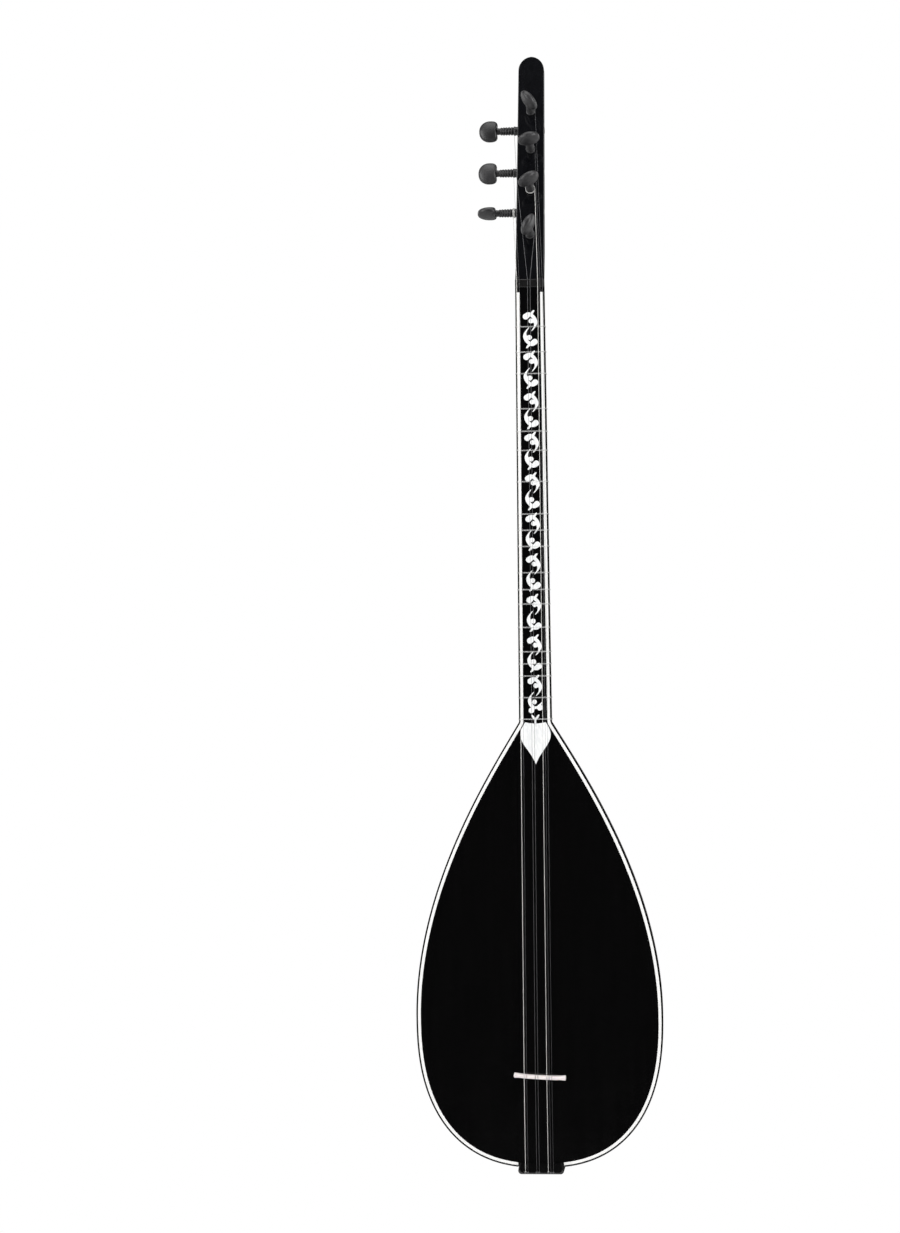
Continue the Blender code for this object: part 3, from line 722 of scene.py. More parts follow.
def even_steps(line, rows):
    lengths = [0.0]
    for a, b in zip(line, line[1:]):
        lengths.append(lengths[-1] + (b - a).length)
    made, at = [], 0
    for i in range(rows + 1):
        wanted = lengths[-1] * i / rows
        while at < len(line) - 2 and lengths[at + 1] < wanted:
            at += 1
        share = (wanted - lengths[at]) / (lengths[at + 1] - lengths[at])
        made.append(line[at].lerp(line[at + 1], min(max(share, 0), 1)))
    return made


# %% Binding and black line
EDGE_RADIUS = 0.2 * MM


def strip_section(outer, inner, radius):
    """A strip's cross-section as (share of the way in, y), its two front edges rounded."""
    width = (outer - inner).length
    points = [(0, BOARD_BACK), (1, BOARD_BACK)]
    for centre, start in ((1 - radius / width, 0), (radius / width, 90)):
        for i in range(4):
            angle = math.radians(start + 30 * i)
            points.append((centre + radius / width * math.cos(angle), radius - radius * math.sin(angle)))
    return points


def make_strip(name, outer_inset, inner_inset, side, radius):
    outer, inner = inner_line(outer_inset, STRIP_TOP), inner_line(inner_inset, STRIP_TOP)
    rings = []
    for a, b in zip(outer, inner):
        spots = [(a.lerp(b, share), y) for share, y in strip_section(a, b, radius)]
        rings.append([(side * spot.x, y, spot.y) for spot, y in spots])
    return smooth(loft(name, rings))


for side, word in ((1, "right"), (-1, "left")):
    strip = make_strip(f"edge_line_{word}", 0, BINDING_INSET, side, EDGE_RADIUS)
    place_piece(strip, "instrument", "board_lacquer", finishes["board_lacquer"], f"purfling_{word}")
    strip = make_strip(f"white_edge_{word}", BINDING_INSET, BOARD_INSET, side, 0.08 * MM)
    place_piece(strip, "instrument", "white_binding", finishes["white_binding"], f"binding_{word}")
print("edging strips: 4")

# %% [markdown]
# ## The heart and the board
# A heart of pearl celluloid covers the joint between the fingerboard and the board. It lies in a
# shallow pocket and stands a hair proud, as an inlay does after the lacquer has sunk around it.

# %% Heart inlay, board and fingerboard
PROUD = 0.08 * MM
HEART_DIP = 1.2 * MM
heart_low, heart_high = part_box("heart_inlay")


def heart_outline(grow=0.0):
    top, point = heart_high.z + grow, (0, heart_low.z - 2 * grow)
    top_half = neck_half(JOINT) - BOARD_INSET - 1.5 * MM + grow
    shoulder = (heart_high.x + grow, JOINT - 12 * MM)
    upper = ((top_half, top), (top_half + 1.6 * MM, top - 3 * MM),
             (shoulder[0], shoulder[1] + 5 * MM), shoulder)
    lower = (shoulder, (shoulder[0], shoulder[1] - 9 * MM),
             (5 * MM + grow, point[1] + 13 * MM), point)
    right = [curve_point(upper, i / 16) for i in range(16)]
    right += [curve_point(lower, i / 28) for i in range(29)]
    dip = [(top_half * math.cos(math.pi * i / 12), top - HEART_DIP * math.sin(math.pi * i / 12) ** 2)
           for i in range(1, 12)]
    return right + mirrored(right[:-1])[::-1] + dip[::-1]


def make_board():
    right = [tuple(point) for point in inner_line(BOARD_INSET, JOINT)]
    board = plate("front_board", right + mirrored(right)[::-1], 0, BOARD_BACK)
    return smooth(cut(board, plate("pocket", heart_outline(0.1 * MM), -MM, 1.4 * MM)))


place_piece(make_board(), "instrument", "board_lacquer", finishes["board_lacquer"], "soundboard")
heart = flat_faced(rounded(plate("pearl_heart", heart_outline(), -PROUD, 1.2 * MM), 0.06 * MM, 2))
place_piece(heart, "instrument", "pearl_inlay", finishes["pearl_inlay"], "heart_inlay")

corners = [(neck_half(z) - BOARD_INSET, z) for z in (JOINT, STRIP_TOP)]
corners += [(neck_half(z), z) for z in (STRIP_TOP, NUT)]
fingerboard = plate("finger_board", corners + mirrored(corners)[::-1], 0, BOARD_BACK)
place_piece(flat_faced(rounded(fingerboard, 0.06 * MM, 2)), "instrument", "board_lacquer",
            finishes["board_lacquer"], "fingerboard")
print("heart spans", [round(v / MM, 1) for v in (heart_low.z, heart_high.z)])

# %% [markdown]
# ## The vine
# A white vine climbs the fingerboard. It repeats one scroll: a round fruit with an arch that
# curls over it, a bud inside the arch and a small leaf on top. Every second scroll is the same one
# turned half round. So one scroll is drawn from a few arcs, and Geometry Nodes set out the rest.

# %% Draw one scroll
INLAY_DEPTH = 0.5 * MM
SCROLL_ARCH = ((-4.1, 11.9, 2.6), (-2.1, 13.4, 2.5), (0.0, 13.9, 1.75), (1.9, 12.6, 1.6),
               (3.7, 10.5, 1.65), (4.8, 7.9, 1.8), (5.1, 5.6, 1.6), (4.7, 3.5, 1.05),
               (3.6, 1.3, 0.6), (2.3, -0.4, 0.5), (1.1, -1.7, 0.2))
SCROLL_LEAF = ((1.0, 14.0, 1.1), (2.4, 16.1, 1.0), (3.5, 17.3, 0.7), (3.9, 17.8, 0.3))
SCROLL_STEM = ((0.9, 7.8, 1.8), (2.4, 7.8, 1.8), (4.5, 7.9, 1.8))
FRUIT = (-4.1, 12.0, 2.8)
BUD = (0.8, 7.8, 2.3)


def through(points, steps=8):
    """A smooth row of points through a few (Catmull-Rom)."""
    rows = [Vector(point) for point in points]
    rows = [2 * rows[0] - rows[1]] + rows + [2 * rows[-1] - rows[-2]]
    made = []
    for a, b, c, d in zip(rows, rows[1:], rows[2:], rows[3:]):
        for i in range(steps):
            t = i / steps
            made.append(0.5 * (2 * b + (c - a) * t + (2 * a - 5 * b + 4 * c - d) * t * t
                               + (3 * b - a - 3 * c + d) * t ** 3))
    return made + [rows[-2]]


def leaf_outline(points):
    """The outline of a brush stroke through (x, z, half width) points in millimetres."""
    rows = through(points)
    left, right = [], []
    for i, row in enumerate(rows):
        run = rows[min(i + 1, len(rows) - 1)] - rows[max(i - 1, 0)]
        side = Vector((-run.y, run.x)).normalized() * max(row.z, 0.05)
        left.append(((row.x + side.x) * MM, (row.y + side.y) * MM))
        right.append(((row.x - side.x) * MM, (row.y - side.y) * MM))
    return left + right[::-1]


def round_outline(spec, sides=32):
    x, z, radius = spec
    return [((x + radius * math.cos(2 * math.pi * i / sides)) * MM,
             (z + radius * math.sin(2 * math.pi * i / sides)) * MM) for i in range(sides)]


def joined(name, outlines):
    """One flat piece from several overlapping outlines; each lies a hair deeper than the last."""
    whole = None
    for i, outline in enumerate(outlines):
        part = plate(name, outline, -PROUD, INLAY_DEPTH + i * 0.01 * MM)
        whole = combine(whole, "UNION", part) if whole else part
    return whole


scroll = joined("scroll", [leaf_outline(SCROLL_ARCH), round_outline(FRUIT), round_outline(BUD),
                           leaf_outline(SCROLL_STEM), leaf_outline(SCROLL_LEAF)])
print("one scroll:", len(scroll.data.polygons), "faces")

# %% Set out the vine
VINE_TOP = 796.2 * MM
VINE_STEP = 38.2 * MM
SCROLLS = 19


def make_vine_tree():
    tree, given, end = new_group("vine", "GeometryNodeTree", {
        "Geometry": "shape", "Scrolls": "count", "Step": "number", "Top": "number", "Finish": "finish"},
        {"Geometry": "shape"})
    points = add(tree, "GeometryNodeMeshLine", {"Count": given["Scrolls"]})
    index = Value(tree, add(tree, "GeometryNodeInputIndex").outputs[0])
    pair = (index / 2).maths("FLOOR")
    level = given["Top"] - pair * given["Step"]
    place = add(tree, "ShaderNodeCombineXYZ", {2: level})
    spread = add(tree, "GeometryNodeSetPosition", {"Geometry": points.outputs[0],
                                                   "Position": place.outputs[0]})
    turn = add(tree, "ShaderNodeCombineXYZ", {1: (index - pair * 2) * math.pi})
    copies = add(tree, "GeometryNodeInstanceOnPoints", {
        "Points": spread.outputs[0], "Instance": given["Geometry"], "Rotation": turn.outputs[0]})
    close_tree(tree, end, copies.outputs[0], given["Finish"])
    return tree


def make_finial():
    """The last scroll ends in two fruits, a leaf and a fork whose stem reaches the heart."""
    base = VINE_TOP - VINE_STEP * (SCROLLS // 2)
    fork = [leaf_outline(((side * 3.5, -19.6, 0.5), (side * 2.0, -21.9, 1.0), (0, -24.2, 0.9)))
            for side in (-1, 1)]
    turned_arch = [(-x, -z, half) for x, z, half in SCROLL_ARCH[2:]]
    outlines = [leaf_outline(turned_arch), round_outline((-3.6, -15.6, 2.6)),
                round_outline((4.4, -12.9, 2.8)), leaf_outline(((-2.6, -13.4, 1.2), (3.4, -12.6, 1.2))),
                leaf_outline(((3.0, -11.6, 1.0), (5.2, -9.8, 0.8), (6.3, -7.6, 0.2))),
                round_outline((-0.56, -7.55, 2.2)), *fork,
                leaf_outline(((0, -23.0, 0.9), (0, -25.5, 0.8), (0, -28.4, 1.0)))]
    made = joined("finial", outlines)
    made.data.transform(Matrix.Translation((0, 0, base)))
    return made


vine = grown("vine_inlay", make_vine_tree(), {
    "Scrolls": SCROLLS, "Step": VINE_STEP, "Top": VINE_TOP, "Finish": finishes["pearl_inlay"]},
    scroll.data.copy())
bpy.data.objects.remove(scroll)
finial = make_finial()
whole = bmesh.new()
for part in (vine, finial):
    whole.from_mesh(part.data)
whole.to_mesh(vine.data)
whole.free()
bpy.data.objects.remove(finial)
place_piece(smooth(vine), "instrument", "pearl_inlay", finishes["pearl_inlay"])
print("vine:", len(vine.data.polygons), "faces")

# %% [markdown]
# ## Neck and head
# The neck is one length of dark wood with a round back. The head is a second piece, glued on in a
# long slanting scarf joint, so its black lacquer ends in a line across the back of the neck. Both
# are skinned from cross-sections: a rounded back like the bowl's for the neck, a squarer one with
# softened front edges for the head, and a smooth run between the two at the scarf.

# %% Neck
def round_section(half, back, exponent, count=48, front=BOARD_BACK):
    """Points (x, y) from right to left round the back of a section whose front is flat."""
    points = []
    for i in range(count + 1):
        across, behind = math.cos(math.pi * i / count), math.sin(math.pi * i / count)
        x = half * math.copysign(abs(across) ** (2 / exponent), across)
        points.append((x, front + (back - front) * abs(behind) ** (2 / exponent)))
    return points


SCARF_SLOPE = SCARF_RUN / (NECK_DEPTH_NUT - BOARD_BACK)


def make_neck():
    rings = []
    start_of_scarf = NUT - 2.4 * SCARF_RUN
    levels = [(JOINT + (start_of_scarf - JOINT) * i / 24, 0) for i in range(25)]
    levels += [(start_of_scarf + (HEAD_FOOT - start_of_scarf) * i / 10, i / 10) for i in range(1, 11)]
    for level, lean in levels:
        ring = round_section(neck_half(level), neck_depth(level), SECTION_FULLNESS)
        rings.append([(x, y, level - lean * SCARF_SLOPE * (y - BOARD_BACK)) for x, y in ring])
    return smooth(loft("neck_shaft", rings))


place_piece(make_neck(), "instrument", "neck_wood", finishes["neck_wood"], "neck")

# %% Head
FRONT_EDGE = 0.8 * MM
HEAD_BASE = 14 * MM             # where the scarf's smooth run ends
HEAD_EVEN = 30 * MM             # from here the section stays square
BASE_SQUARENESS = 2.8
BASE_SWELL = 1.5 * MM           # extra depth at the base
BASE_STEPS = 8
HEAD_ORIGIN = Vector((0, bowl_low.y, HEAD_FOOT))


def on_head(across, along, out):
    return HEAD_ORIGIN + Vector((across, 0, 0)) + HEAD_UP * along + HEAD_OUT * out


def head_half(along):
    share = min(along / (HEAD_LENGTH - HEAD_DOME), 1)
    return neck_half(HEAD_FOOT) + (HEAD_WIDTH_TOP / 2 - neck_half(HEAD_FOOT)) * share


def soft_section(half, deep, exponent, corner, count=44):
    """A head section: flat front with rounded edges, and a round back. Points (x, y)."""
    arc = [math.radians(-90 + 18 * i) for i in range(5)]
    right = [(half - corner + corner * math.cos(a), corner + corner * math.sin(a)) for a in arc]
    back = round_section(half, deep, exponent, count, front=corner)
    return right + back + [(-x, y) for x, y in right[::-1]]


def head_rings():
    straight = HEAD_LENGTH - HEAD_DOME
    stations = []
    for i in range(BASE_STEPS + 1):
        t = i / BASE_STEPS
        squareness = BASE_SQUARENESS + (HEAD_SQUARENESS - BASE_SQUARENESS) * t
        along = HEAD_BASE + (HEAD_EVEN - HEAD_BASE) * t
        stations.append((along, 1, squareness, HEAD_DEPTH + BASE_SWELL * (1 - t)))
    stations += [(HEAD_EVEN + (straight - HEAD_EVEN) * i / 40, 1, HEAD_SQUARENESS, HEAD_DEPTH - MM * i / 40)
                 for i in range(1, 41)]
    for i in range(1, 19):
        angle = math.radians(4.8 * i)
        stations.append((straight + HEAD_DOME * math.sin(angle) / math.sin(math.radians(86.4)),
                         math.cos(angle), HEAD_SQUARENESS, HEAD_DEPTH - MM - 2 * MM * (i / 18) ** 2))
    rings = []
    for along, share, squareness, deep in stations:
        half = head_half(along) * share
        corner = min(FRONT_EDGE, half * 0.5)
        rings.append([on_head(x, along, -y) for x, y in soft_section(half, deep, squareness, corner)])
    return rings


def scarf_rings(above, steps=10):
    """Rings from the slanting glue line up to the head's first section, smooth along the back."""
    foot = soft_section(neck_half(HEAD_FOOT), neck_depth(HEAD_FOOT), SECTION_FULLNESS, 0.2 * MM)
    start = []
    for x, y in foot:
        y = max(y, BOARD_BACK)
        start.append(Vector((x, y, HEAD_FOOT - SCARF_SLOPE * (y - BOARD_BACK))))
    rings = []
    for i in range(steps):
        t = i / steps
        ring = []
        for low, high in zip(start, above):
            back = min((low.y - BOARD_BACK) / (NECK_DEPTH_NUT - BOARD_BACK), 1)
            lead = HEAD_UP.lerp(Vector((0, 0, 1)), back)
            reach = (high - low).length / 3
            ring.append(Vector(curve_point((low, low + lead * reach, high - HEAD_UP * reach, high), t)))
        rings.append(ring)
    return rings


def make_head():
    rings = head_rings()
    return loft("head", scarf_rings(rings[0]) + rings)


# %% [markdown]
# Seven tapered holes take the pegs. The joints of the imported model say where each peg's axis is
# and which way it points, so the drills are placed with those and nothing else.

# %% Peg places and holes
PEG_RADIUS = 4.1 * MM
PEG_TIP_RADIUS = 3.6 * MM
HOLE_ROOM = 0.15 * MM
PEG_TURNS = {"peg_front_1": -50, "peg_front_2": 12, "peg_front_3": 28, "peg_front_4": 60,
             "peg_side_1": 0, "peg_side_2": 0, "peg_side_3": 90}


def peg_matrix(name):
    """A peg's place: its own Z runs outwards and its own X runs across its flat head."""
    out, angle = Vector(joints[name]["axis"]), math.radians(PEG_TURNS[name])
    first, second = (Vector((1, 0, 0)), HEAD_UP) if "front" in name else (HEAD_UP, HEAD_OUT)
    wide = first * math.cos(angle) + second * math.sin(angle)
    turn = Matrix((wide, out.cross(wide), out)).transposed().to_4x4()
    return Matrix.Translation(joints[name]["pos_m"]) @ turn


def peg_reach(name):
    """How far a peg goes into the head: just past its back, or from side to side."""
    if "front" in name:
        return HEAD_DEPTH + 0.6 * MM
    along = (Vector(joints["peg_side_1"]["pos_m"]) - HEAD_ORIGIN).dot(HEAD_UP)
    return 2 * head_half(along)


def drill(name):
    reach, spare = peg_reach(name), 4 * MM
    taper = (PEG_RADIUS - PEG_TIP_RADIUS) / reach
    shape = bmesh.new()
    bmesh.ops.create_cone(shape, cap_ends=True, segments=48,
                          radius1=PEG_TIP_RADIUS + HOLE_ROOM - taper * spare,
                          radius2=PEG_RADIUS + HOLE_ROOM + taper * spare, depth=reach + 2 * spare)
    tool = from_shape("drill", shape)
    tool.data.transform(peg_matrix(name) @ Matrix.Translation((0, 0, -reach / 2)))
    return tool


head = flat_faced(cut(make_head(), *[drill(name) for name in PEG_TURNS]))
place_piece(head, "instrument", "head_lacquer", finishes["head_lacquer"], "headstock")
print("head with", len(PEG_TURNS), "peg holes:", len(head.data.polygons), "faces")

# %% [markdown]
# ## Pegs
# Each peg is turned on a lathe: a tapered shaft, five beads, a thin waist and then a flat round
# head with two small shoulders beside the stem. The stem is a turned profile whose beads come from
# a formula. The head is a ball that is flattened, squared a little and pushed in at the stem.

# %% Turn a peg
PEG_STEM = 20 * MM
PEG_WAIST = 3.0 * MM
PEG_BEADS = ((6.0, 1.3, 0.95), (8.7, 1.25, 0.95), (11.3, 1.2, 0.9), (13.8, 1.15, 0.85), (16.1, 1.0, 0.7))
PEG_HEAD_HALF = 10.8 * MM
PEG_HEAD_THICKNESS = 10 * MM
PEG_CROWN, PEG_SHOULDER = 10 * MM, 8.6 * MM     # beyond and before the head's widest line
FRONT_PEG_SCALE = 0.98          # the front pegs have slightly smaller heads


def peg_profile(reach):
    """(radius, height) points from the tip in the head out to the waist; beads as (height, half, rise)."""
    dome = 1.0 * MM
    points = [(0, -reach)]
    for i in range(1, 6):
        angle = math.radians(18 * i)
        points.append((PEG_TIP_RADIUS - dome * (1 - math.sin(angle)), -reach + dome * (1 - math.cos(angle))))
    points += [(PEG_RADIUS, 0), (PEG_RADIUS, 4.2 * MM), (PEG_RADIUS - 0.3 * MM, 4.5 * MM)]
    for i in range(61):
        height = 4.6 + (PEG_STEM / MM - 4.6) * i / 60
        radius = PEG_WAIST / MM + 0.35 * max(0, (height - 15) / 5) ** 2
        for centre, half, rise in PEG_BEADS:
            radius += rise * math.sqrt(max(0, 1 - ((height - centre) / half) ** 2))
        points.append((radius * MM, height * MM))
    return points + [(0, PEG_STEM + 3 * MM)]


def turned_shape(profile, sides=40):
    shape = bmesh.new()
    rows = []
    for radius, height in profile:
        count = sides if radius else 1
        rows.append([shape.verts.new((radius * math.cos(2 * math.pi * i / sides),
                                      radius * math.sin(2 * math.pi * i / sides), height))
                     for i in range(count)])
    for low, high in zip(rows, rows[1:]):
        for i in range(sides):
            j = (i + 1) % sides
            corners = [low[i % len(low)], low[j % len(low)], high[j % len(high)], high[i % len(high)]]
            shape.faces.new(list(dict.fromkeys(corners)))
    return shape


def signed_power(value, power):
    return math.copysign(abs(value) ** power, value)


def peg_head_shape(scale):
    """A flattened ball, square-shouldered beside the stem and dented where the stem meets it."""
    shape = bmesh.new()
    bmesh.ops.create_uvsphere(shape, u_segments=56, v_segments=40, radius=1)
    for vert in shape.verts:
        x, y, z = vert.co
        ring = math.hypot(x, y)
        around_x, around_y = (x / ring, y / ring) if ring > 1e-6 else (0, 0)
        fullness = 0.9 if z > 0 else 0.6
        wide = ring ** fullness * around_x
        thick = ring ** 0.55 * around_y * (1 - 0.16 * z)
        high = z if z > 0 else signed_power(z, 0.62)
        dent = 0.2 * math.exp(-(wide / 0.5) ** 2) * max(0, -high) ** 3
        length = PEG_CROWN if z > 0 else PEG_SHOULDER
        place = Vector((wide * PEG_HEAD_HALF, thick * PEG_HEAD_THICKNESS / 2, (high + dent) * length))
        vert.co = place * scale
    bmesh.ops.translate(shape, verts=shape.verts, vec=(0, 0, PEG_STEM + PEG_SHOULDER * scale - MM))
    return shape


def make_peg(name):
    stem = from_shape(name, turned_shape(peg_profile(peg_reach(name))))
    knob = from_shape("knob", peg_head_shape(FRONT_PEG_SCALE if "front" in name else 1))
    peg = combine(stem, "UNION", knob)
    along = peg.data.attributes.new("along", "FLOAT", "POINT")
    along.data.foreach_set("value", [vert.co.z for vert in peg.data.vertices])
    # the first side peg is near-black all over; on the other pegs the shaft below the head gets painted
    # shade, as the stems lie under the heads
    stain = peg.data.attributes.new("stain", "FLOAT", "POINT")
    darkest = name.endswith("side_1")
    stain.data.foreach_set("value", [1.0 if darkest else 0.6 * (vert.co.z < PEG_STEM - MM)
                                     for vert in peg.data.vertices])
    peg.data.transform(peg_matrix(name.replace("turned_", "")))
    return smooth(peg)


for name in PEG_TURNS:
    peg = make_peg("turned_" + name)
    place_piece(peg, name, "peg_wood", finishes["peg_wood"], name)
print("pegs:", len(PEG_TURNS))

# %% [markdown]
# ## Nut, bridge and tail block
# The nut is a dark horn bar with a groove for each string. The bridge stands loose on the board on
# two feet. The tail block closes the bowl's end, and its small pins hold the strings' loops. Each
# is a small carved piece, so it is shaped from its sections and its edges are softened.

# %% Strings' places, shared by the nut, the bridge and the strings
STRINGS = (                     # x at the nut, x at the tail, radius, peg
    (-12.2, -14.6, 0.25, "peg_side_3"), (-9.8, -12.2, 0.10, "peg_side_2"),
    (-2.0, -4.0, 0.15, "peg_side_1"), (0.5, -1.6, 0.15, "peg_front_4"),
    (7.6, 6.9, 0.225, "peg_front_3"), (9.8, 9.3, 0.10, "peg_front_2"), (12.0, 11.7, 0.10, "peg_front_1"))
BRIDGE_SHARE = 0.12             # how far up from tail to nut the bridge crosses the strings
bridge_low, bridge_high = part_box("bridge")
BRIDGE_SKEW = math.radians(3.2)


def string_at(spec, share):
    return (spec[1] + (spec[0] - spec[1]) * share) * MM


def groove(name, at, radius, length):
    """A round cutter that lies along the strings."""
    bpy.ops.mesh.primitive_cylinder_add(vertices=20, radius=radius, depth=length)
    tool = bpy.context.object
    tool.name = name
    tool.data.transform(Matrix.Translation(at))
    return tool


def make_nut():
    half = NECK_HALF_NUT
    bpy.ops.mesh.primitive_cube_add(size=1)
    bar = bpy.context.object
    bar.name = "horn_nut"
    size = (2 * half, bowl_low.y - nut_low.y, nut_high.z - nut_low.z)
    centre = (0, (bowl_low.y + nut_low.y) / 2, (nut_high.z + nut_low.z) / 2)
    bar.data.transform(Matrix.Translation(centre) @ Matrix.Diagonal((*size, 1)))
    bar = rounded(bar, 0.7 * MM, 4)
    tools = [groove("groove", (spec[0] * MM, nut_low.y - 0.15 * MM, centre[2]), spec[2] * MM + 0.35 * MM,
                    20 * MM) for spec in STRINGS]
    return flat_faced(cut(bar, *tools))


place_piece(make_nut(), "instrument", "horn_nut", finishes["horn_nut"], "nut")

# %% Bridge
BRIDGE_SPAN = 49.3 * MM
BRIDGE_HEIGHT = bridge_high.y - bridge_low.y
BRIDGE_FOOT = 8.5 * MM
BRIDGE_ARCH = 3 * MM
BRIDGE_END_HEIGHT = 4.5 * MM
BRIDGE_TOP_THICKNESS = 3.0 * MM
BRIDGE_FOOT_THICKNESS = 4.2 * MM


def ease(t):
    t = min(max(t, 0), 1)
    return t * t * (3 - 2 * t)


def bridge_sizes(x):
    """Underside, top and the two thicknesses of the bridge at a place across it."""
    half = BRIDGE_SPAN / 2
    from_end = half - abs(x)
    inside = max(half - BRIDGE_FOOT - abs(x), 0) / (half - BRIDGE_FOOT)
    under = BRIDGE_ARCH * math.sqrt(1 - (1 - inside) ** 2)
    top = BRIDGE_END_HEIGHT + (BRIDGE_HEIGHT - BRIDGE_END_HEIGHT) * ease((from_end - 1 * MM) / (11 * MM))
    for spec in STRINGS:
        groove_x = string_at(spec, BRIDGE_SHARE)
        top -= 0.45 * MM * math.exp(-((x - groove_x) / (0.42 * MM)) ** 2)
    flare = 1 + 0.3 * ease(1 - from_end / (7 * MM))
    return under, top, BRIDGE_FOOT_THICKNESS * flare, BRIDGE_TOP_THICKNESS * flare


def make_bridge():
    rings = []
    steps = 220
    for i in range(steps + 1):
        x = BRIDGE_SPAN * (i / steps - 0.5)
        under, top, foot, crown = bridge_sizes(x)
        end_round = math.sqrt(max(1 - max(1 - (BRIDGE_SPAN / 2 - abs(x)) / (0.8 * MM), 0) ** 2, 0.04))
        ring = []
        for j in range(24):
            angle = 2 * math.pi * (j + 0.5) / 24
            side, rise = signed_power(math.cos(angle), 0.35), signed_power(math.sin(angle), 0.35)
            share = (rise + 1) / 2
            thickness = (foot + (crown - foot) * share) * end_round
            height = under + (top - under) * (0.5 + rise / 2 * end_round) if end_round < 1 else \
                under + (top - under) * share
            ring.append((x, -height, side * thickness / 2))
        rings.append(ring)
    bridge = loft("bone_bridge", rings)
    middle = (bridge_low.z + bridge_high.z) / 2
    turn = Matrix.Rotation(BRIDGE_SKEW, 4, "Y")
    bridge.data.transform(Matrix.Translation((0, bridge_high.y + SEAM, middle)) @ turn)
    return smooth(bridge)


place_piece(make_bridge(), "bridge", "bone", finishes["bone"], "bridge")

# %% Tail block
block_low, block_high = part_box("tail_block")
BLOCK_FOOT = BOWL_END - SEAM     # the part under the bowl's end reaches up to here


def block_outline(inset, top, corner, sides=8):
    """Front outline: round lower corners, and upper shoulders a little narrower than the foot."""
    half, low = block_high.x - inset, block_low.z + inset
    points = []
    for i in range(sides + 1):
        angle = math.radians(-90 + 90 * i / sides)
        points.append((half - corner + corner * math.cos(angle), low + corner + corner * math.sin(angle)))
    top_half = half - 0.9 * MM * (top - low) / (block_high.z - low)
    points.append((top_half, top - 1.2 * MM))
    points.append((top_half - 1.2 * MM, top))
    return mirrored(points)[::-1] + points


def make_tail_block():
    rings = []
    for y, inset, top in ((block_low.y, 1.6 * MM, block_high.z), (block_low.y + 1.4 * MM, 0, block_high.z),
                          (BOARD_BACK, 0, block_high.z), (BOARD_BACK + 0.1 * MM, 0, BLOCK_FOOT),
                          (block_high.y - 5 * MM, 0, BLOCK_FOOT), (block_high.y, 3 * MM, BLOCK_FOOT)):
        rings.append([(x, y, z) for x, z in block_outline(inset, top, 3.2 * MM)])
    return flat_faced(rounded(loft("tail_end_block", rings), 0.35 * MM, 3, math.radians(30)))


place_piece(make_tail_block(), "instrument", "board_lacquer", finishes["board_lacquer"], "tail_block")
print("nut, bridge and tail block done")

# %% [markdown]
# ## Strings
# Three courses run from the pins over the bridge and the nut to the pegs. The first of the left
# and of the right course is wound, the others are plain steel. A string follows a path, which is
# what Geometry Nodes do well: the script lists the path, the tree gives it its round section and
# stores the length along it, so the winding's bumps can follow the string.

# %% The wire tree
def make_wire_tree():
    tree, given, end = new_group("wire", "GeometryNodeTree", {
        "Geometry": "shape", "Radius": "number", "Sides": "count", "Finish": "finish"},
        {"Geometry": "shape"})
    path = add(tree, "GeometryNodeMeshToCurve", {"Mesh": given["Geometry"]})
    length = add(tree, "GeometryNodeSplineParameter").outputs["Length"]
    marked = add(tree, "GeometryNodeStoreNamedAttribute", {
        "Geometry": path.outputs[0], "Name": "along", "Value": length}, domain="POINT", data_type="FLOAT")
    circle = add(tree, "GeometryNodeCurvePrimitiveCircle", {
        "Resolution": given["Sides"], "Radius": given["Radius"]})
    tube = add(tree, "GeometryNodeCurveToMesh", {
        "Curve": marked.outputs[0], "Profile Curve": circle.outputs[0], "Fill Caps": True})
    close_tree(tree, end, tube.outputs[0], given["Finish"])
    return tree


def path_mesh(name, points, closed=False):
    data = bpy.data.meshes.new(name)
    links = [(i, i + 1) for i in range(len(points) - 1)] + ([(len(points) - 1, 0)] if closed else [])
    data.from_pydata([tuple(point) for point in points], links, [])
    return data


wire_tree = make_wire_tree()

# %% Lay the strings
COIL_TURNS = 3
COIL_POINTS = 28
COIL_START = 3.7 * MM
EDGE_CROSSING = 104 * MM
PIN_LEVEL = (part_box("hitch_pin_1")[0].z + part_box("hitch_pin_1")[1].z) / 2
PIN_ROOM = 0.75 * MM
LIP_FRONT = block_low.y


def coil(peg, radius):
    """Turns about a peg's shaft, from one side of it upwards and in towards the head's face."""
    place, out = Vector(joints[peg]["pos_m"]), Vector(joints[peg]["axis"])
    start = Vector((1, 0, 0)) if "front" in peg else HEAD_OUT
    around = PEG_RADIUS + radius + 0.12 * MM
    pitch = 2 * radius + 0.06 * MM
    points = []
    for i in range(COIL_TURNS * COIL_POINTS + 1):
        angle = 2 * math.pi * i / COIL_POINTS
        level = COIL_START - pitch * i / COIL_POINTS
        points.append(place + out * level + start * around * math.cos(angle)
                      + HEAD_UP * around * math.sin(angle))
    return points


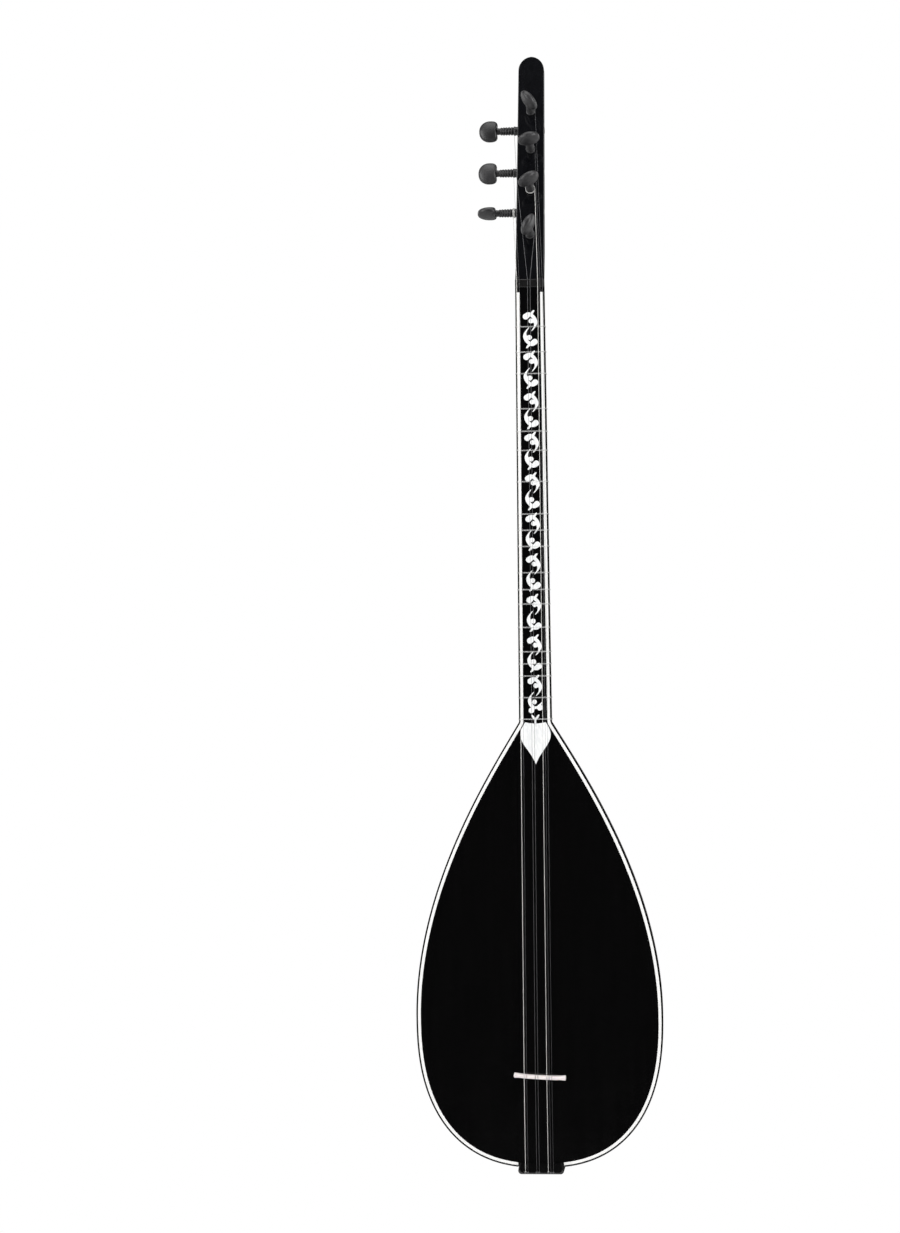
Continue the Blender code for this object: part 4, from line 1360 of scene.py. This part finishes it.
def string_path(spec):
    nut_x, tail_x, radius = (v * MM for v in spec[:3])
    gap = radius + 0.05 * MM
    front = LIP_FRONT - gap
    loop = [Vector((tail_x + PIN_ROOM * math.sin(a), front, PIN_LEVEL - PIN_ROOM * math.cos(a)))
            for a in (math.radians(30 + 30 * i) for i in range(11))]
    bridge_x = string_at(spec, BRIDGE_SHARE)
    middle = (bridge_low.z + bridge_high.z) / 2
    bridge_z = middle - bridge_x * math.tan(BRIDGE_SKEW)
    points = loop[::-1] + [
        Vector((tail_x, front, PIN_LEVEL + 2.4 * MM)), Vector((tail_x, front, block_high.z - MM)),
        Vector((bridge_x, bridge_low.y - radius + 0.3 * MM, bridge_z)),
        Vector((nut_x, nut_low.y - radius + 0.3 * MM, nut_low.z)),
        Vector((nut_x, nut_low.y - radius + 0.3 * MM, nut_high.z))]
    if spec[3] == "peg_side_1":
        points.append(on_head(-head_half(EDGE_CROSSING) - gap, EDGE_CROSSING, gap))
    return points + coil(spec[3], radius)


for i, spec in enumerate(STRINGS):
    wound = spec[2] > 0.2
    slot = "wound_string" if wound else "steel"
    name = f"{'wound' if wound else 'plain'}_string_{i + 1}"
    wire = grown(name, wire_tree, {"Radius": spec[2] * MM, "Sides": 12, "Finish": finishes[slot]},
                 path_mesh(name, string_path(spec)))
    place_piece(smooth(wire), "instrument", slot, finishes[slot], f"string_{i + 1}")

# %% [markdown]
# ## Tied frets
# A baglama's frets are nylon line wound round the neck and knotted behind it, so they can be slid.
# Each is the same tree run on a different loop: it copies the loop side by side, lets the strands
# spread at the back, adds the knot as a small spiral and gives everything its round section.

# %% The fret tree
STRAND_RADIUS = 0.26 * MM
STRAND_STEP = 0.58 * MM
STRAND_SPREAD = 0.6


def make_fret_tree():
    tree, given, end = new_group("tied fret", "GeometryNodeTree", {
        "Geometry": "shape", "Strands": "count", "Step": "number", "Spread": "number", "Depth": "number",
        "Radius": "number", "Knot X": "number", "Knot Turns": "number", "Level": "number",
        "Finish": "finish"}, {"Geometry": "shape"})
    loop = add(tree, "GeometryNodeMeshToCurve", {"Mesh": given["Geometry"]})
    start = (given["Strands"] - 1) * given["Step"] * -0.5
    step_up = add(tree, "ShaderNodeCombineXYZ", {2: given["Step"]})
    first = add(tree, "ShaderNodeCombineXYZ", {2: start})
    rows = add(tree, "GeometryNodeMeshLine", {"Count": given["Strands"], "Start Location": first.outputs[0],
                                              "Offset": step_up.outputs[0]})
    copies = add(tree, "GeometryNodeInstanceOnPoints", {"Points": rows.outputs[0],
                                                        "Instance": loop.outputs[0]})
    strands = add(tree, "GeometryNodeRealizeInstances", {"Geometry": copies.outputs[0]})
    here = add(tree, "ShaderNodeSeparateXYZ", {0: add(tree, "GeometryNodeInputPosition").outputs[0]})
    y, z = Value(tree, here.outputs[1]), Value(tree, here.outputs[2])
    behind = (y / given["Depth"]).maths("MAXIMUM", 0)
    apart = add(tree, "ShaderNodeCombineXYZ", {2: z * behind * given["Spread"]})
    spread = add(tree, "GeometryNodeSetPosition", {"Geometry": strands.outputs[0],
                                                   "Offset": apart.outputs[0]})
    knot = add(tree, "GeometryNodeCurveSpiral", {
        "Resolution": 10, "Rotations": given["Knot Turns"], "Start Radius": given["Radius"] * 1.5,
        "End Radius": given["Radius"] * 1.1, "Height": given["Radius"] * 4})
    knot_place = add(tree, "ShaderNodeCombineXYZ", {0: given["Knot X"], 1: given["Depth"]})
    laid = add(tree, "GeometryNodeTransform", {"Geometry": knot.outputs[0], "Rotation": (0, math.pi / 2, 0),
                                               "Translation": knot_place.outputs[0]})
    lines = add(tree, "GeometryNodeJoinGeometry")
    for part in (spread, laid):
        tree.links.new(part.outputs[0], lines.inputs[0])
    circle = add(tree, "GeometryNodeCurvePrimitiveCircle", {"Resolution": 8, "Radius": given["Radius"]})
    tube = add(tree, "GeometryNodeCurveToMesh", {"Curve": lines.outputs[0], "Profile Curve":
                                                 circle.outputs[0], "Fill Caps": True})
    up = add(tree, "ShaderNodeCombineXYZ", {2: given["Level"]})
    raised = add(tree, "GeometryNodeTransform", {"Geometry": tube.outputs[0],
                                                 "Translation": up.outputs[0]})
    close_tree(tree, end, raised.outputs[0], given["Finish"])
    return tree


fret_tree = make_fret_tree()

# %% Tie the frets
FRETS = 19
FRET_ROOM = 0.12 * MM           # clears the proud inlay and lets a fret slide towards the bowl
FRET_CORNER = 0.6 * MM          # how far from the neck's front corners the loop starts to turn


def make_fret(number):
    node = f"fret_{number:02d}"
    low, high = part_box(node)
    level = (low.z + high.z) / 2
    off = STRAND_RADIUS + FRET_ROOM
    half, back = neck_half(level) + off, neck_depth(level) + off
    section = round_section(half, back, SECTION_FULLNESS, 40, front=BOARD_BACK)
    front = [(-half, FRET_CORNER), (-half + FRET_CORNER, -off),
             (half - FRET_CORNER, -off), (half, FRET_CORNER)]
    loop = [(x, y, 0) for x, y in section + front]
    fret = grown(f"tied_{node}", fret_tree, {
        "Strands": 2, "Step": STRAND_STEP, "Spread": STRAND_SPREAD, "Depth": back,
        "Radius": STRAND_RADIUS, "Knot X": -2.0 * MM, "Knot Turns": 2.0, "Level": level,
        "Finish": finishes["nylon"]}, path_mesh(node + "_loop", loop, closed=True))
    return place_piece(smooth(fret), node, "nylon", finishes["nylon"], node)


for number in range(1, FRETS + 1):
    make_fret(number)

# %% [markdown]
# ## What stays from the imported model
# The blocks and braces inside the body and the small steel pins have the right shape already. They
# keep their meshes and only get a finish.

# %% Finish the remaining nodes
KEPT = {"neck_block": "inner_wood", "tail_liner": "inner_wood", "brace_lower": "inner_wood",
        "brace_upper": "inner_wood", **{f"hitch_pin_{i}": "steel" for i in range(1, len(STRINGS) + 1)}}
for node, finish in KEPT.items():
    kept = frame["nodes"][node]
    kept.data.materials.clear()
    kept.data.materials.append(finishes[finish])
print("kept nodes:", len(KEPT))

# %% [markdown]
# ## Light, floor and camera
# Black lacquer shows only what it mirrors. So the room is dim where the board looks, tall soft
# boxes stand to the sides and behind to draw long highlights on the bowl, and the camera itself
# sees a plain white ground.

# %% Room
WHITE = (1, 1, 1, 1)


def make_world():
    world = bpy.data.worlds.new("studio")
    bpy.context.scene.world = world
    world.use_nodes = True
    tree = world.node_tree
    tree.nodes.clear()
    way = add(tree, "ShaderNodeSeparateXYZ", {0: add(tree, "ShaderNodeTexCoord").outputs["Generated"]})
    aside = 1 - Value(tree, way.outputs[1]).maths("ABSOLUTE")
    below = (Value(tree, way.outputs[2]) * -7 - 1.26).maths("MAXIMUM", 0).maths("MINIMUM", 0.6)
    dim = aside * aside * 0.28 + below + 0.025
    seen = Value(tree, add(tree, "ShaderNodeLightPath").outputs["Is Camera Ray"])
    strength = dim * (1 - seen) + seen
    back = add(tree, "ShaderNodeBackground", {"Color": WHITE, "Strength": strength})
    tree.links.new(back.outputs[0], add(tree, "ShaderNodeOutputWorld").inputs[0])


def soft_box(name, azimuth, elevation, distance, size, radiance):
    """An area light that looks at the middle of the instrument from an azimuth and elevation."""
    light = bpy.data.lights.new(name, "AREA")
    light.shape = "RECTANGLE"
    light.size, light.size_y = size
    light.energy = radiance * math.pi * size[0] * size[1]
    box = new_piece(name, light)
    a, e = math.radians(azimuth), math.radians(elevation)
    way = Vector((math.sin(a) * math.cos(e), -math.cos(a) * math.cos(e), math.sin(e)))
    box.location = MIDDLE + way * distance
    box.rotation_euler = way.to_track_quat("Z", "Y").to_euler()
    box.visible_camera = False


MIDDLE = (cad_box[0] + cad_box[1]) / 2
make_world()
for name, azimuth, elevation, distance, size, radiance in (
        ("left_box", -56, 18, 2.4, (1.3, 2.2), 5.8), ("right_box", 56, 18, 2.4, (1.3, 2.2), 5.8),
        ("top_box", 0, 78, 2.2, (1.8, 1.8), 3.0), ("back_left_box", -130, 12, 2.6, (0.9, 2.2), 2.3),
        ("back_right_box", 128, 12, 2.6, (0.9, 2.2), 3.0)):
    soft_box(name, azimuth, elevation, distance, size, radiance)

# %% Floor
FLOOR_DROP = 0.30
FLOOR_RADIUS = 1.0


def make_floor():
    bpy.ops.mesh.primitive_circle_add(vertices=96, radius=FLOOR_RADIUS, fill_type="NGON",
                                      location=(0, MIDDLE.y, -FLOOR_DROP))
    floor = bpy.context.object
    floor.name = "studio_floor"
    made, tree, shader, place = new_finish("pale_floor", roughness=0.9)
    mottle = add(tree, "ShaderNodeTexNoise", {"Vector": place, "Scale": 6, "Detail": 4})
    put(tree, shader.inputs["Base Color"],
        blend_colours(tree, mottle.outputs[0], (0.80, 0.80, 0.80, 1), (0.86, 0.86, 0.86, 1)))
    floor.data.materials.append(made)


make_floor()

# %% Camera
CAMERA_DISTANCE = 2.8
CAMERA_HEIGHT = 0.5264
CAMERA_AZIMUTH = math.radians(4.0)
CAMERA_ROLL = math.radians(0.75)
ASIDE = 0.0792                  # how far left of the instrument the camera aims
LENS = 86.7


def make_camera():
    data = bpy.data.cameras.new("camera")
    data.lens = LENS
    camera = new_piece("camera", data)
    way = Vector((math.sin(CAMERA_AZIMUTH), -math.cos(CAMERA_AZIMUTH), 0))
    right = Vector((math.cos(CAMERA_AZIMUTH), math.sin(CAMERA_AZIMUTH), 0))
    camera.location = way * CAMERA_DISTANCE + Vector((0, 0, CAMERA_HEIGHT))
    target = Vector((0, 0, CAMERA_HEIGHT)) - right * ASIDE
    turn = (camera.location - target).to_track_quat("Z", "Y").to_matrix().to_4x4()
    camera.rotation_euler = (turn @ Matrix.Rotation(-CAMERA_ROLL, 4, "Z")).to_euler()
    bpy.context.scene.camera = camera


make_camera()
bpy.context.scene.view_settings.view_transform = "Standard"

# %% Finish
print("scene built")
